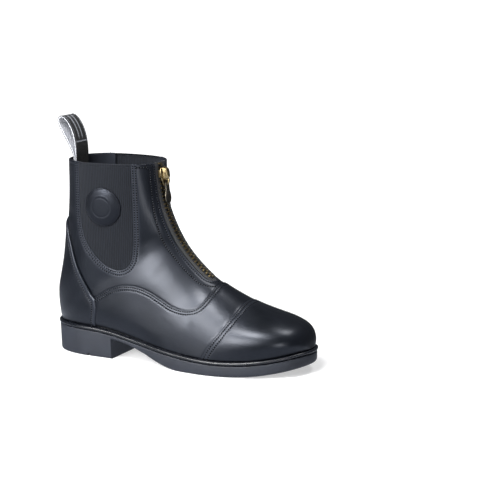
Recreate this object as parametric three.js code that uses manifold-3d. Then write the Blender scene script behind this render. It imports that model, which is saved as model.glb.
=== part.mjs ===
// A zip-front paddock boot for the right foot, standing empty on its sole.
// Millimetres. X runs from heel to toe, +Y is the inner side of the foot, Z is up from the ground.
import * as THREE from 'three';
import { mergeVertices } from 'three/addons/utils/BufferGeometryUtils.js';
import Module from 'manifold-3d';

const wasm = await Module();
wasm.setup();

// Sizes of the last. The feather line is where the upper meets the welt.
const footLength = 264;
const ballWidth = 90;
const instepRise = 68;
const shaftRise = 160.5;
const heelSeat = 31.5;
const ballSeat = 15.8;
const toeSpring = 8.7;

// Leather, and the space between neighbours.
const gap = 0.3;
const upperWall = 2.4;
const vampThickness = 0.9;
const toeCapThickness = 1.5;
const counterThickness = 1.2;

// Bottom unit.
const weltReach = 4.6;
const weltThickness = 4.3;
const soleReach = 3.8;
const seatInset = 4.9;
const breastX = 70;
const breastHeight = 20;
const heelTaper = 0.9;
const groundRound = 2.5;
const insoleThickness = 3;
const treadWidth = 2.4;
const treadDepth = 1.4;
const treadPitch = 12;
const treadMargin = 8;
const notchDepth = 2.8;

// Side panels and badge.
const goreThickness = 1.6;
const goreSink = 0.6;
const badgeRadius = 18.5;
const badgeThickness = 1;
const badgeDome = 3;

// Zip.
const slotHalfWidth = 9;
const slotFlare = 4;
const tapeThickness = 0.9;
const tapeSink = 1.2;
const chainHalfWidth = 2.8;
const chainNotch = 0.8;
const chainThickness = 2.2;
const toothPitch = 3.9;
const sliderLength = 18;
const sliderHalfWidth = 6.3;
const sliderPlate = 1.6;
const sliderDrop = 5;
const bridgeHalfWidth = 1.3;
const bridgeWindow = 3;
const bridgeBar = 1.4;
const pullLength = 21.5;
const pullHalfWidth = 5.5;
const pullThickness = 1.6;
const pullEye = 7;
const pullPlay = 0.35;
const pullLean = 2.8;

// Loop of tape at the back of the collar.
const loopRise = 40;
const loopWidth = 22;
const loopThickness = 1.6;

// Height of the feather line. x is a share of footLength, heel and toe are the shares of each rise.
const featherRows = [
  { x: 0, heel: 1, toe: 0 },
  { x: 0.12, heel: 0.98, toe: 0 },
  { x: 0.24, heel: 0.86, toe: 0 },
  { x: 0.38, heel: 0.51, toe: 0 },
  { x: 0.52, heel: 0.18, toe: 0 },
  { x: 0.65, heel: 0.013, toe: 0 },
  { x: 0.76, heel: 0, toe: 0 },
  { x: 0.88, heel: 0, toe: 0.32 },
  { x: 1, heel: 0, toe: 1 },
];

// Underside of the sole. arch is a share of breastHeight, spring a share of toeSpring.
const groundRows = [
  { x: 0, arch: 1, spring: 0 },
  { x: 0.265, arch: 1, spring: 0 },
  { x: 0.34, arch: 0.86, spring: 0 },
  { x: 0.42, arch: 0.52, spring: 0 },
  { x: 0.48, arch: 0.22, spring: 0 },
  { x: 0.535, arch: 0.04, spring: 0 },
  { x: 0.58, arch: 0, spring: 0 },
  { x: 0.7, arch: 0, spring: 0 },
  { x: 0.8, arch: 0, spring: 0.12 },
  { x: 0.9, arch: 0, spring: 0.47 },
  { x: 1.02, arch: 0, spring: 1.2 },
];

// Plan of the feather line, toe to heel. x is a share of footLength, y of ballWidth.
const outerRows = [
  { x: 1, y: 0.07 },
  { x: 0.982, y: -0.11 },
  { x: 0.93, y: -0.275 },
  { x: 0.83, y: -0.42 },
  { x: 0.68, y: -0.495 },
  { x: 0.52, y: -0.455 },
  { x: 0.38, y: -0.385 },
  { x: 0.25, y: -0.345 },
  { x: 0.12, y: -0.325 },
  { x: 0.035, y: -0.22 },
  { x: 0, y: 0 },
];
const innerRows = [
  { x: 1, y: 0.07 },
  { x: 0.982, y: 0.24 },
  { x: 0.93, y: 0.37 },
  { x: 0.84, y: 0.46 },
  { x: 0.72, y: 0.485 },
  { x: 0.58, y: 0.41 },
  { x: 0.46, y: 0.33 },
  { x: 0.36, y: 0.29 },
  { x: 0.24, y: 0.3 },
  { x: 0.12, y: 0.32 },
  { x: 0.035, y: 0.22 },
  { x: 0, y: 0 },
];

// Sections of the upper, toe to collar. Each runs from the feather line, or from the back line on
// the shaft, up to the ridge along the front. feather: share of the way round from toe to heel.
// backX, ridgeX: shares of footLength. backUp: share of shaftRise above the heel seat.
// ridgeUp: share of instepRise above the feather line on the foot, of shaftRise on the shaft.
// side and half: the ridge's place across and the half width, shares of ballWidth.
// wide: where up the section it is widest. front and back: how square its two ends are.
const sections = [
  {
    feather: 0, backX: 0, backUp: 0, ridgeX: 1, ridgeUp: 0,
    side: 0.07, half: 0, wide: 0.3, front: 2.2, back: 2,
  },
  {
    feather: 0.065, backX: 0, backUp: 0, ridgeX: 0.992, ridgeUp: 0.165,
    side: 0.07, half: 0.044, wide: 0.3, front: 2.2, back: 2,
  },
  {
    feather: 0.135, backX: 0, backUp: 0, ridgeX: 0.968, ridgeUp: 0.34,
    side: 0.07, half: 0.067, wide: 0.3, front: 2.25, back: 2,
  },
  {
    feather: 0.22, backX: 0, backUp: 0, ridgeX: 0.915, ridgeUp: 0.475,
    side: 0.064, half: 0.089, wide: 0.28, front: 2.3, back: 2,
  },
  {
    feather: 0.31, backX: 0, backUp: 0, ridgeX: 0.85, ridgeUp: 0.563,
    side: 0.053, half: 0.133, wide: 0.26, front: 2.3, back: 2,
  },
  {
    feather: 0.4, backX: 0, backUp: 0, ridgeX: 0.784, ridgeUp: 0.636,
    side: 0.042, half: 0.2, wide: 0.24, front: 2.3, back: 2,
  },
  {
    feather: 0.5, backX: 0, backUp: 0, ridgeX: 0.708, ridgeUp: 0.737,
    side: 0.029, half: 0.267, wide: 0.22, front: 2.3, back: 2,
  },
  {
    feather: 0.61, backX: 0, backUp: 0, ridgeX: 0.625, ridgeUp: 0.86,
    side: 0.018, half: 0.333, wide: 0.22, front: 2.2, back: 2,
  },
  {
    feather: 0.73, backX: 0, backUp: 0, ridgeX: 0.557, ridgeUp: 1,
    side: 0.011, half: 0.367, wide: 0.24, front: 2.2, back: 2,
  },
  {
    feather: 0.87, backX: 0, backUp: 0, ridgeX: 0.504, ridgeUp: 1.2,
    side: 0.007, half: 0.378, wide: 0.28, front: 2.25, back: 2,
  },
  {
    feather: 1, backX: 0, backUp: 0, ridgeX: 0.466, ridgeUp: 1.45,
    side: 0.003, half: 0.378, wide: 0.34, front: 2.3, back: 2.1,
  },
  {
    feather: 1, backX: -0.007, backUp: 0.159, ridgeX: 0.439, ridgeUp: 0.72,
    side: 0, half: 0.383, wide: 0.4, front: 2.4, back: 2.15,
  },
  {
    feather: 1, backX: 0.019, backUp: 0.377, ridgeX: 0.424, ridgeUp: 0.813,
    side: 0, half: 0.389, wide: 0.45, front: 2.5, back: 2.2,
  },
  {
    feather: 1, backX: 0.038, backUp: 0.614, ridgeX: 0.417, ridgeUp: 0.894,
    side: 0, half: 0.4, wide: 0.47, front: 2.5, back: 2.3,
  },
  {
    feather: 1, backX: 0.047, backUp: 0.813, ridgeX: 0.413, ridgeUp: 0.95,
    side: 0, half: 0.411, wide: 0.48, front: 2.5, back: 2.3,
  },
  {
    feather: 1, backX: 0.049, backUp: 1, ridgeX: 0.411, ridgeUp: 1,
    side: 0, half: 0.422, wide: 0.48, front: 2.5, back: 2.3,
  },
];
const heelRow = 10;
const collarRow = sections.length - 1;
// Sections between which each overlay is cut.
const capRowsEnd = 5;
const quarterRowsStart = 6;
const vampRowsStart = 2;
const vampRowsEnd = 12;
const footStepsPerRow = 3;
const shaftStepsPerRow = 2;
const halfSteps = 10;
const fineFactor = 4;

// Seams in side view. x is a share of footLength, up of instepRise above the ball seat.
const vampRows = [
  { x: 0.25, up: 0.776 },
  { x: 0.303, up: 0.856 },
  { x: 0.367, up: 0.87 },
  { x: 0.42, up: 0.82 },
  { x: 0.473, up: 0.723 },
  { x: 0.519, up: 0.635 },
  { x: 0.572, up: 0.6 },
  { x: 0.614, up: 0.644 },
  { x: 0.636, up: 0.753 },
  { x: 0.646, up: 0.856 },
];
const capRows = [
  { x: 0.64, up: -0.2 },
  { x: 0.663, up: 0.018 },
  { x: 0.689, up: 0.194 },
  { x: 0.72, up: 0.356 },
  { x: 0.742, up: 0.503 },
  { x: 0.755, up: 0.63 },
  { x: 0.757, up: 0.8 },
];

// Counter and gore in side view. x is a share of footLength, up of shaftRise above the heel seat.
const counterRows = [
  { x: -0.05, up: 0.67 },
  { x: 0.025, up: 0.655 },
  { x: 0.068, up: 0.576 },
  { x: 0.093, up: 0.493 },
  { x: 0.121, up: 0.383 },
  { x: 0.152, up: 0.287 },
  { x: 0.186, up: 0.195 },
];
const counterFoot = [
  { x: 0.205, up: 0.165 },
  { x: 0.21, up: 0.1 },
  { x: 0.2, up: 0.01 },
  { x: 0.194, up: -0.1 },
];
const goreBack = { x: 0.142, up: 0.688 };
const goreFront = { x: 0.352, up: 0.52 };
const goreRows = [
  { x: 0.159, up: 0.551 },
  { x: 0.197, up: 0.452 },
  { x: 0.242, up: 0.383 },
  { x: 0.288, up: 0.355 },
  { x: 0.324, up: 0.371 },
  { x: 0.345, up: 0.421 },
];
const badgeCentre = { x: 0.242, up: 0.738 };
const zipEndX = 0.632;

// Centre line of the loop, from the inside of the collar's back, as shares of loopRise.
const loopRows = [
  { out: 0.128, up: -0.45 },
  { out: 0.13, up: -0.1 },
  { out: 0.132, up: 0.125 },
  { out: 0.112, up: 0.35 },
  { out: 0.055, up: 0.588 },
  { out: -0.04, up: 0.788 },
  { out: -0.15, up: 0.925 },
  { out: -0.262, up: 0.982 },
  { out: -0.342, up: 0.945 },
  { out: -0.355, up: 0.85 },
  { out: -0.3, up: 0.715 },
  { out: -0.185, up: 0.515 },
  { out: -0.065, up: 0.31 },
  { out: 0.025, up: 0.135 },
  { out: 0.07, up: -0.05 },
  { out: 0.072, up: -0.45 },
];

const collarHeight = heelSeat + shaftRise;
const heelCentreX = breastX / 2;

// Smooth curve through a table's column. u counts rows.
function column(rows, key, u) {
  const last = rows.length - 1;
  const i = Math.min(Math.max(Math.floor(u), 0), last - 1);
  const f = u - i;
  const value = (k) => {
    if (k < 0) return 2 * rows[0][key] - rows[1][key];
    if (k > last) return 2 * rows[last][key] - rows[last - 1][key];
    return rows[k][key];
  };
  const [a, b, c, d] = [value(i - 1), value(i), value(i + 1), value(i + 2)];
  const [square, cube] = [2 * a - 5 * b + 4 * c - d, 3 * b - a - 3 * c + d];
  return 0.5 * (2 * b + (c - a) * f + square * f * f + cube * f ** 3);
}

// Row count at a given x of a table that is sorted by x.
function rowAt(rows, x) {
  const last = rows.length - 1;
  for (let i = 0; i < last; i += 1) {
    if (x <= rows[i + 1].x) return i + Math.max(x - rows[i].x, 0) / (rows[i + 1].x - rows[i].x);
  }
  return last;
}

function featherZ(x) {
  const u = rowAt(featherRows, x / footLength);
  const heelPart = (heelSeat - ballSeat) * column(featherRows, 'heel', u);
  return ballSeat + heelPart + toeSpring * column(featherRows, 'toe', u);
}

// The arch starts at the breast, so the rows behind it are read from the breast.
function groundZ(x) {
  const u = rowAt(groundRows, x / footLength);
  const arch = Math.min(Math.max(column(groundRows, 'arch', u), 0), 1);
  return breastHeight * arch + toeSpring * Math.max(column(groundRows, 'spring', u), 0);
}

// One side of the feather line, with running length. The other side's rows carry it past its ends.
function traceSide(rows, other) {
  const whole = [other[1], ...rows, other[other.length - 2]];
  const steps = 400;
  const points = [];
  let run = 0;
  for (let k = 0; k <= steps; k += 1) {
    const u = 1 + (k / steps) * (rows.length - 1);
    const x = column(whole, 'x', u) * footLength;
    const y = column(whole, 'y', u) * ballWidth;
    if (k > 0) run += Math.hypot(x - points[k - 1].x, y - points[k - 1].y);
    points.push({ x, y, run });
  }
  return points;
}
const featherSides = { outer: traceSide(outerRows, innerRows), inner: traceSide(innerRows, outerRows) };

// Point on the feather line. share is 0 at the toe and 1 at the heel.
function featherPoint(share, side) {
  const points = featherSides[side];
  const run = Math.min(Math.max(share, 0), 1) * points[points.length - 1].run;
  let k = 1;
  while (k < points.length - 1 && points[k].run < run) k += 1;
  const f = (run - points[k - 1].run) / (points[k].run - points[k - 1].run);
  const x = points[k - 1].x + f * (points[k].x - points[k - 1].x);
  const y = points[k - 1].y + f * (points[k].y - points[k - 1].y);
  return { x, y };
}

// One section of the upper as points evenly spaced from the outer foot over the ridge to the inner.
function section(u, half) {
  const get = (key) => column(sections, key, u);
  const onFoot = u <= heelRow;
  const share = onFoot ? Math.min(Math.max(get('feather'), 0), 1) : 1;
  const feet = ['outer', 'inner'].map((side) => {
    if (!onFoot) return [get('backX') * footLength, 0, heelSeat + get('backUp') * shaftRise];
    const p = featherPoint(share, side);
    return [p.x, p.y, featherZ(p.x)];
  });
  const footZ = (feet[0][2] + feet[1][2]) / 2;
  const ridge = [get('ridgeX') * footLength, get('side') * ballWidth, ridgeHeight(u, footZ)];
  const footHalf = onFoot ? (feet[1][1] - feet[0][1]) / 2 : 0;
  const footMiddle = onFoot ? (feet[1][1] + feet[0][1]) / 2 : 0;
  const tableHalf = Math.max(get('half') * ballWidth, 0);
  const bulge = 1.015;
  const widest = Math.max((tableHalf ** 6 + (bulge * footHalf) ** 6) ** (1 / 6), 1e-6);
  const start = Math.min(footHalf / widest, 1);
  const [wide, front, back] = [get('wide'), get('front'), get('back')];
  const fine = 60;
  const result = [];
  feet.forEach((foot, index) => {
    const line = [];
    for (let k = 0; k <= fine; k += 1) {
      const s = (1 - Math.cos((Math.PI * k) / fine)) / 2;
      const low = 1 - (1 - start ** back) * Math.max(1 - s / wide, 0) ** back;
      const high = 1 - Math.max((s - wide) / (1 - wide), 0) ** front;
      const w = s < wide ? Math.max(low, 0) ** (1 / back) : Math.max(high, 0) ** (1 / front);
      const y = footMiddle + (ridge[1] - footMiddle) * s + (index === 0 ? -1 : 1) * widest * w;
      line.push([foot[0] + (ridge[0] - foot[0]) * s, y, foot[2] + (ridge[2] - foot[2]) * s]);
    }
    const spaced = evenly(line, half);
    if (index === 0) result.push(...spaced);
    else result.push(...spaced.reverse().slice(1));
  });
  return result;
}

// Ridge height on the foot counts from the feather line, on the shaft from the heel seat.
function ridgeHeight(u, footZ) {
  const share = (i) => sections[Math.min(Math.max(i, 0), sections.length - 1)];
  const height = (i) => {
    const row = share(i);
    if (i > heelRow) return heelSeat + row.ridgeUp * shaftRise;
    const outer = featherZ(featherPoint(row.feather, 'outer').x);
    const inner = featherZ(featherPoint(row.feather, 'inner').x);
    return (outer + inner) / 2 + row.ridgeUp * instepRise;
  };
  const rows = sections.map((row, i) => ({ z: height(i) }));
  return u <= 0 ? footZ : column(rows, 'z', u);
}

function evenly(line, count) {
  const run = [0];
  for (let k = 1; k < line.length; k += 1) {
    const [a, b] = [line[k - 1], line[k]];
    run.push(run[k - 1] + Math.hypot(b[0] - a[0], b[1] - a[1], b[2] - a[2]));
  }
  const total = run[run.length - 1];
  const result = [];
  let k = 1;
  for (let i = 0; i <= count; i += 1) {
    const want = (i / count) * total;
    while (k < line.length - 1 && run[k] < want) k += 1;
    const f = total > 0 ? (want - run[k - 1]) / Math.max(run[k] - run[k - 1], 1e-9) : 0;
    result.push(line[k].map((value, axis) => line[k - 1][axis] + f * (value - line[k - 1][axis])));
  }
  return result;
}

// Rows of the grid: even steps along the foot, wider ones up the shaft.
const gridRows = [];
for (let i = 0; i < heelRow * footStepsPerRow; i += 1) gridRows.push(i / footStepsPerRow);
const shaftRows = collarRow - heelRow;
for (let i = 0; i <= shaftRows * shaftStepsPerRow; i += 1) gridRows.push(heelRow + i / shaftStepsPerRow);

// Points and outward normals of the upper's own surface at each grid row.
const surface = gridRows.map((u) => surfaceRow(u));

function surfaceRow(u) {
  const du = 0.04;
  const dense = halfSteps * fineFactor;
  const here = section(u, dense);
  const before = section(Math.max(u - du, 0), dense);
  const after = section(Math.min(u + du, collarRow), dense);
  const last = 2 * dense;
  const normalAt = (k) => {
    const low = here[Math.max(k - 1, 0)];
    const high = here[Math.min(k + 1, last)];
    const along = new THREE.Vector3(...after[k]).sub(new THREE.Vector3(...before[k]));
    const across = new THREE.Vector3(...high).sub(new THREE.Vector3(...low));
    return across.cross(along).normalize();
  };
  const row = { points: [], normals: [] };
  for (let k = 0; k <= last; k += fineFactor) {
    const edge = k === 0 || k === last;
    let normal = normalAt(k);
    if (edge && u >= heelRow) normal = normalAt(0).add(normalAt(last));
    if (u === 0) normal = new THREE.Vector3(1, 0, 0);
    if (edge && u <= heelRow) normal.z = 0;
    row.points.push(new THREE.Vector3(...here[k]));
    row.normals.push(normal.normalize());
  }
  return row;
}

// Closed skin between two offsets of the surface, over the grid rows from one section to another.
function skin(fromRow, toRow, low, high) {
  const picked = gridRows.map((u, i) => i).filter((i) => gridRows[i] >= fromRow && gridRows[i] <= toRow);
  const end = picked.length - 1;
  const across = 2 * halfSteps + 1;
  const points = [];
  [high, low].forEach((offset) => {
    picked.forEach((i) => {
      surface[i].points.forEach((p, j) => {
        points.push(p.clone().addScaledVector(surface[i].normals[j], offset));
      });
    });
  });
  const at = (layer, i, j) => (layer * picked.length + i) * across + j;
  const faces = [];
  const quad = (a, b, c, d) => faces.push([a, b, c], [a, c, d]);
  for (let i = 0; i < end; i += 1) {
    for (let j = 0; j < across - 1; j += 1) {
      const outerSkin = [at(0, i, j), at(0, i, j + 1), at(0, i + 1, j + 1), at(0, i + 1, j)];
      const innerSkin = [at(1, i, j), at(1, i + 1, j), at(1, i + 1, j + 1), at(1, i, j + 1)];
      [outerSkin, innerSkin].forEach((loop) => {
        if (j < halfSteps) quad(...loop);
        else quad(loop[1], loop[2], loop[3], loop[0]);
      });
    }
    if (gridRows[picked[i]] < heelRow) {
      quad(at(0, i, 0), at(0, i + 1, 0), at(1, i + 1, 0), at(1, i, 0));
      const j = across - 1;
      quad(at(0, i, j), at(1, i, j), at(1, i + 1, j), at(0, i + 1, j));
    }
  }
  for (let j = 0; j < across - 1; j += 1) {
    quad(at(0, 0, j), at(1, 0, j), at(1, 0, j + 1), at(0, 0, j + 1));
    quad(at(0, end, j), at(0, end, j + 1), at(1, end, j + 1), at(1, end, j));
  }
  return meshGeometry(points, faces);
}

function meshGeometry(points, faces) {
  const geometry = new THREE.BufferGeometry();
  const positions = new Float32Array(points.flatMap((p) => [p.x, p.y, p.z]));
  geometry.setAttribute('position', new THREE.BufferAttribute(positions, 3));
  geometry.setIndex(faces.flat());
  return geometry;
}

// Stacked closed loops of equal count. Ends are closed straight across, or the last joins the first.
function loftLoops(loops, joined) {
  const count = loops[0].length;
  const points = loops.flat();
  const faces = [];
  const levels = joined ? loops.length : loops.length - 1;
  for (let l = 0; l < levels; l += 1) {
    for (let i = 0; i < count; i += 1) {
      const next = (i + 1) % count;
      const [a, b] = [l * count, ((l + 1) % loops.length) * count];
      faces.push([a + i, a + next, b + next], [a + i, b + next, b + i]);
    }
  }
  if (!joined) {
    const top = (loops.length - 1) * count;
    for (let i = 0; i < count / 2; i += 1) {
      const [p, q, r, s] = [i, i + 1, count - i - 1, (count - i) % count];
      if (q !== r) {
        faces.push([p, r, q]);
        faces.push([top + p, top + q, top + r]);
      }
      if (p !== s) {
        faces.push([p, s, r]);
        faces.push([top + p, top + r, top + s]);
      }
    }
  }
  return meshGeometry(points, faces);
}

// Closed solid of a geometry, with shared vertices and faces pointing out.
function toSolid(source) {
  const bare = source.index ? source.clone() : mergeVertices(source.clone());
  bare.deleteAttribute('normal');
  bare.deleteAttribute('uv');
  const merged = mergeVertices(bare, 1e-4);
  const position = merged.attributes.position.array;
  const corners = [];
  let volume = 0;
  for (let t = 0; t < merged.index.count; t += 3) {
    const [a, b, c] = [0, 1, 2].map((k) => merged.index.getX(t + k));
    if (a === b || b === c || a === c) continue;
    corners.push(a, b, c);
    const [p, q, r] = [a, b, c].map((k) => new THREE.Vector3().fromArray(position, 3 * k));
    volume += p.dot(q.cross(r));
  }
  if (volume < 0) corners.reverse();
  const mesh = new wasm.Mesh({
    numProp: 3,
    vertProperties: new Float32Array(position),
    triVerts: new Uint32Array(corners),
  });
  return new wasm.Manifold(mesh);
}

function toGeometry(solid) {
  const mesh = solid.getMesh();
  const geometry = new THREE.BufferGeometry();
  const positions = new Float32Array(mesh.numVert * 3);
  for (let v = 0; v < mesh.numVert; v += 1) {
    for (let k = 0; k < 3; k += 1) positions[3 * v + k] = mesh.vertProperties[v * mesh.numProp + k];
  }
  geometry.setAttribute('position', new THREE.BufferAttribute(positions, 3));
  geometry.setIndex(new THREE.BufferAttribute(new Uint32Array(mesh.triVerts), 1));
  return geometry;
}

// Prism of a side-view outline, from one y to another.
function sidePrism(shape, fromY, toY) {
  const steps = 3;
  const options = { depth: toY - fromY, bevelEnabled: false, curveSegments: steps };
  const geometry = new THREE.ExtrudeGeometry(shape, options);
  geometry.rotateX(Math.PI / 2);
  geometry.translate(0, toY, 0);
  return toSolid(geometry);
}

function boxSolid(lowX, highX, lowY, highY, lowZ, highZ) {
  const geometry = new THREE.BoxGeometry(highX - lowX, highY - lowY, highZ - lowZ);
  geometry.translate((lowX + highX) / 2, (lowY + highY) / 2, (lowZ + highZ) / 2);
  return toSolid(geometry);
}

function onFootSide(row) {
  return new THREE.Vector2(row.x * footLength, ballSeat + row.up * instepRise);
}

function onShaftSide(row) {
  return new THREE.Vector2(row.x * footLength, heelSeat + row.up * shaftRise);
}

// Side-view regions. far is well outside the boot.
const far = footLength + ballWidth;

function curvePoints(points, perSpan) {
  return new THREE.SplineCurve(points).getPoints(perSpan * (points.length - 1));
}

function toeCapRegion() {
  const edge = curvePoints(capRows.map(onFootSide), 2);
  const last = edge[edge.length - 1];
  const corners = [[last.x, far], [far, far], [far, edge[0].y]].map((p) => new THREE.Vector2(...p));
  return new THREE.Shape([...edge, ...corners]);
}

function counterEdge() {
  return [counterRows, counterFoot].flatMap((rows) => curvePoints(rows.map(onShaftSide), 2));
}

function counterRegion() {
  const edge = counterEdge();
  const low = edge[edge.length - 1].y;
  return new THREE.Shape([...edge, new THREE.Vector2(-far, low), new THREE.Vector2(-far, edge[0].y)]);
}

// The vamp lies below its scalloped seam, between the counter and the toe cap.
function vampRegion() {
  const shifted = (points, by) => points.reverse().map((p) => p.clone().setX(p.x + by));
  const back = shifted(curvePoints(counterFoot.map(onShaftSide), 2), gap);
  const seam = curvePoints(vampRows.map(onFootSide), 2);
  const front = shifted(curvePoints(capRows.map(onFootSide), 2), -gap);
  const top = new THREE.Vector2(seam[seam.length - 1].x, front[0].y);
  return new THREE.Shape([...back, ...seam, top, ...front]);
}

// The gore is a U that is open at the collar. inset draws the whole outline in.
function goreRegion(inset) {
  const front = onShaftSide(goreFront);
  const back = onShaftSide(goreBack);
  const middle = (front.x + back.x) / 2;
  const shrink = (p) => new THREE.Vector2(p.x + inset * Math.sign(middle - p.x), p.y);
  const low = curvePoints([back, ...goreRows.map(onShaftSide), front], 2).map((p, k, all) => {
    const before = all[Math.max(k - 1, 0)];
    const after = all[Math.min(k + 1, all.length - 1)];
    const along = after.clone().sub(before).normalize();
    return new THREE.Vector2(p.x - inset * along.y, p.y + inset * along.x);
  });
  const above = [back, front].map((p) => shrink(new THREE.Vector2(p.x, far)));
  return new THREE.Shape([above[0], ...low, above[1]]);
}

// Front ridge, with running length from the zip's lower end, and a frame at each place.
const ridgeLine = traceRidge();

function traceRidge() {
  const steps = 20;
  const line = [];
  for (let k = capRowsEnd * steps; k <= collarRow * steps; k += 1) {
    const row = section(k / steps, 2);
    line.push(new THREE.Vector3(...row[2]));
  }
  const start = line.findIndex((p) => p.x < zipEndX * footLength);
  const kept = line.slice(start);
  const run = [0];
  for (let k = 1; k < kept.length; k += 1) run.push(run[k - 1] + kept[k].distanceTo(kept[k - 1]));
  return { points: kept, run };
}
const zipLength = ridgeLine.run[ridgeLine.run.length - 1];

// Place at a run along the ridge: point, tangent up the boot and outward normal. Runs past either
// end go on straight.
function ridgeFrame(run) {
  const { points, run: runs } = ridgeLine;
  let k = 1;
  while (k < points.length - 1 && runs[k] < run) k += 1;
  const f = (run - runs[k - 1]) / (runs[k] - runs[k - 1]);
  const point = points[k - 1].clone().lerp(points[k], f);
  const low = points[Math.max(k - 3, 0)];
  const high = points[Math.min(k + 2, points.length - 1)];
  const tangent = high.clone().sub(low).setY(0).normalize();
  const normal = new THREE.Vector3(tangent.z, 0, -tangent.x);
  return { point, tangent, normal };
}

// Bar along the ridge. stations hold run, half width, low and high, measured out from the ridge.
function ridgeBar(stations) {
  const loops = stations.map(({ run, half, low, high }) => {
    const { point, normal } = ridgeFrame(run);
    const corner = (side, out) => point.clone().addScaledVector(normal, out).setY(point.y + side);
    return [corner(-half, low), corner(half, low), corner(half, high), corner(-half, high)];
  });
  return toSolid(loftLoops(loops, false));
}

// Half width of the throat: round at its lower end, its corners rounded off at the collar.
function slotHalf(run, reach) {
  const round = slotHalfWidth - reach;
  const low = Math.min((run - reach) / round, 1);
  const top = Math.max((run - zipLength + slotFlare) / slotFlare, 0);
  const flare = slotFlare * (1 - Math.sqrt(Math.max(1 - top * top, 0)));
  return Math.max(round * Math.sqrt(Math.max(1 - (1 - low) ** 2, 0)), 0.4) + (reach > 0 ? 0 : flare);
}

function slotRuns(reach, end) {
  const runs = [0.02, 0.1, 0.28, 0.55, 1].map((f) => reach + f * (slotHalfWidth - reach));
  const spans = 12;
  const first = runs[runs.length - 1];
  for (let k = 1; k <= spans; k += 1) runs.push(first + (k / spans) * (end - slotFlare - first));
  [0.6, 0.85, 1].forEach((f) => runs.push(end - slotFlare + f * slotFlare));
  return runs;
}

function throatCutter() {
  const reach = 5;
  const [low, high] = [-reach - upperWall, reach];
  const runs = slotRuns(0, zipLength);
  const stations = runs.map((run) => ({ run, half: slotHalf(run, 0), low, high }));
  stations.push({ run: zipLength + reach, half: slotHalf(zipLength, 0), low, high });
  return ridgeBar(stations);
}

function buildUpper() {
  const wall = toSolid(skin(0, collarRow, -upperWall, 0));
  const gore = goreRegion(0);
  const clear = slotHalfWidth / 2;
  return wall
    .subtract(sidePrism(gore, -ballWidth, -clear))
    .subtract(sidePrism(gore, clear, ballWidth))
    .subtract(throatCutter());
}

function buildVamp() {
  const shell = toSolid(skin(vampRowsStart, vampRowsEnd, gap, gap + vampThickness));
  return shell.intersect(sidePrism(vampRegion(), -ballWidth, ballWidth));
}

function buildToeCap() {
  const shell = toSolid(skin(0, capRowsEnd, gap, gap + toeCapThickness));
  return shell.intersect(sidePrism(toeCapRegion(), -ballWidth, ballWidth));
}

function buildCounter() {
  const shell = toSolid(skin(quarterRowsStart, collarRow, gap, gap + counterThickness));
  return shell.intersect(sidePrism(counterRegion(), -ballWidth, ballWidth));
}

function buildGore(side) {
  const shell = toSolid(skin(quarterRowsStart, collarRow, -goreSink - goreThickness, -goreSink));
  const clear = slotHalfWidth / 2;
  const [low, high] = side < 0 ? [-ballWidth, -clear] : [clear, ballWidth];
  return shell.intersect(sidePrism(goreRegion(gap), low, high));
}

// Point of the outer side at a side-view place, found by stepping across the surface's rows.
function outerSidePoint(x, z) {
  let best = null;
  const tries = 60;
  let [lowU, highU] = [capRowsEnd, collarRow];
  for (let pass = 0; pass < 3; pass += 1) {
    for (let k = 0; k <= tries; k += 1) {
      const u = lowU + (k / tries) * (highU - lowU);
      const row = section(u, halfSteps);
      for (let j = 0; j < halfSteps; j += 1) {
        const [a, b] = [row[j], row[j + 1]];
        const length = (b[0] - a[0]) ** 2 + (b[2] - a[2]) ** 2;
        const share = ((x - a[0]) * (b[0] - a[0]) + (z - a[2]) * (b[2] - a[2])) / length;
        const f = Math.min(Math.max(share, 0), 1);
        const away = Math.hypot(a[0] + f * (b[0] - a[0]) - x, a[2] + f * (b[2] - a[2]) - z);
        if (!best || away < best.away) best = { away, u, y: a[1] + f * (b[1] - a[1]) };
      }
    }
    const span = (highU - lowU) / tries;
    [lowU, highU] = [best.u - 2 * span, best.u + 2 * span];
  }
  return best.y;
}

// Round domed badge that follows the gore under it.
function buildBadge() {
  const centre = onShaftSide(badgeCentre);
  const around = 20;
  const profile = [
    { r: 0.02, up: badgeDome },
    { r: 0.45, up: badgeDome - 0.4 },
    { r: 0.7, up: badgeDome - 1.4 },
    { r: 0.8, up: 0 },
    { r: 0.96, up: 0 },
    { r: 1, up: -0.3 },
  ];
  const ring = (r, out) => {
    const points = [];
    for (let k = 0; k < around; k += 1) {
      const angle = (2 * Math.PI * k) / around;
      const x = centre.x + r * badgeRadius * Math.cos(angle);
      const z = centre.y + r * badgeRadius * Math.sin(angle);
      points.push(new THREE.Vector3(x, outerSidePoint(x, z) + goreSink - out, z));
    }
    return points;
  };
  const seat = gap + 0.1;
  const loops = profile.map(({ r, up }) => ring(r, seat + badgeThickness + up));
  [1, 0.6, 0.02].forEach((r) => loops.push(ring(r, seat)));
  return toSolid(loftLoops(loops, false));
}

// Loop in plan at an offset out from the feather line, its height worked out at each place.
const footRows = gridRows.filter((u) => u <= heelRow);
const planShares = footRows.map((u) => (u === heelRow ? 1 : column(sections, 'feather', u)));

function planLoop(offset, height) {
  const step = 0.004;
  const place = (share, side) => {
    const p = featherPoint(share, side);
    const other = side === 'outer' ? 'inner' : 'outer';
    const [low, high] = [share - step, share + step];
    const before = low < 0 ? featherPoint(-low, other) : featherPoint(low, side);
    const after = high > 1 ? featherPoint(2 - high, other) : featherPoint(high, side);
    const along = new THREE.Vector2(after.x - before.x, after.y - before.y).normalize();
    const sign = side === 'outer' ? -1 : 1;
    const x = p.x + sign * offset * along.y;
    const y = p.y - sign * offset * along.x;
    return new THREE.Vector3(x, y, height(x));
  };
  const outer = planShares.map((share) => place(share, 'outer'));
  const inner = planShares.slice(1, -1).reverse().map((share) => place(share, 'inner'));
  return [...outer, ...inner];
}

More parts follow.
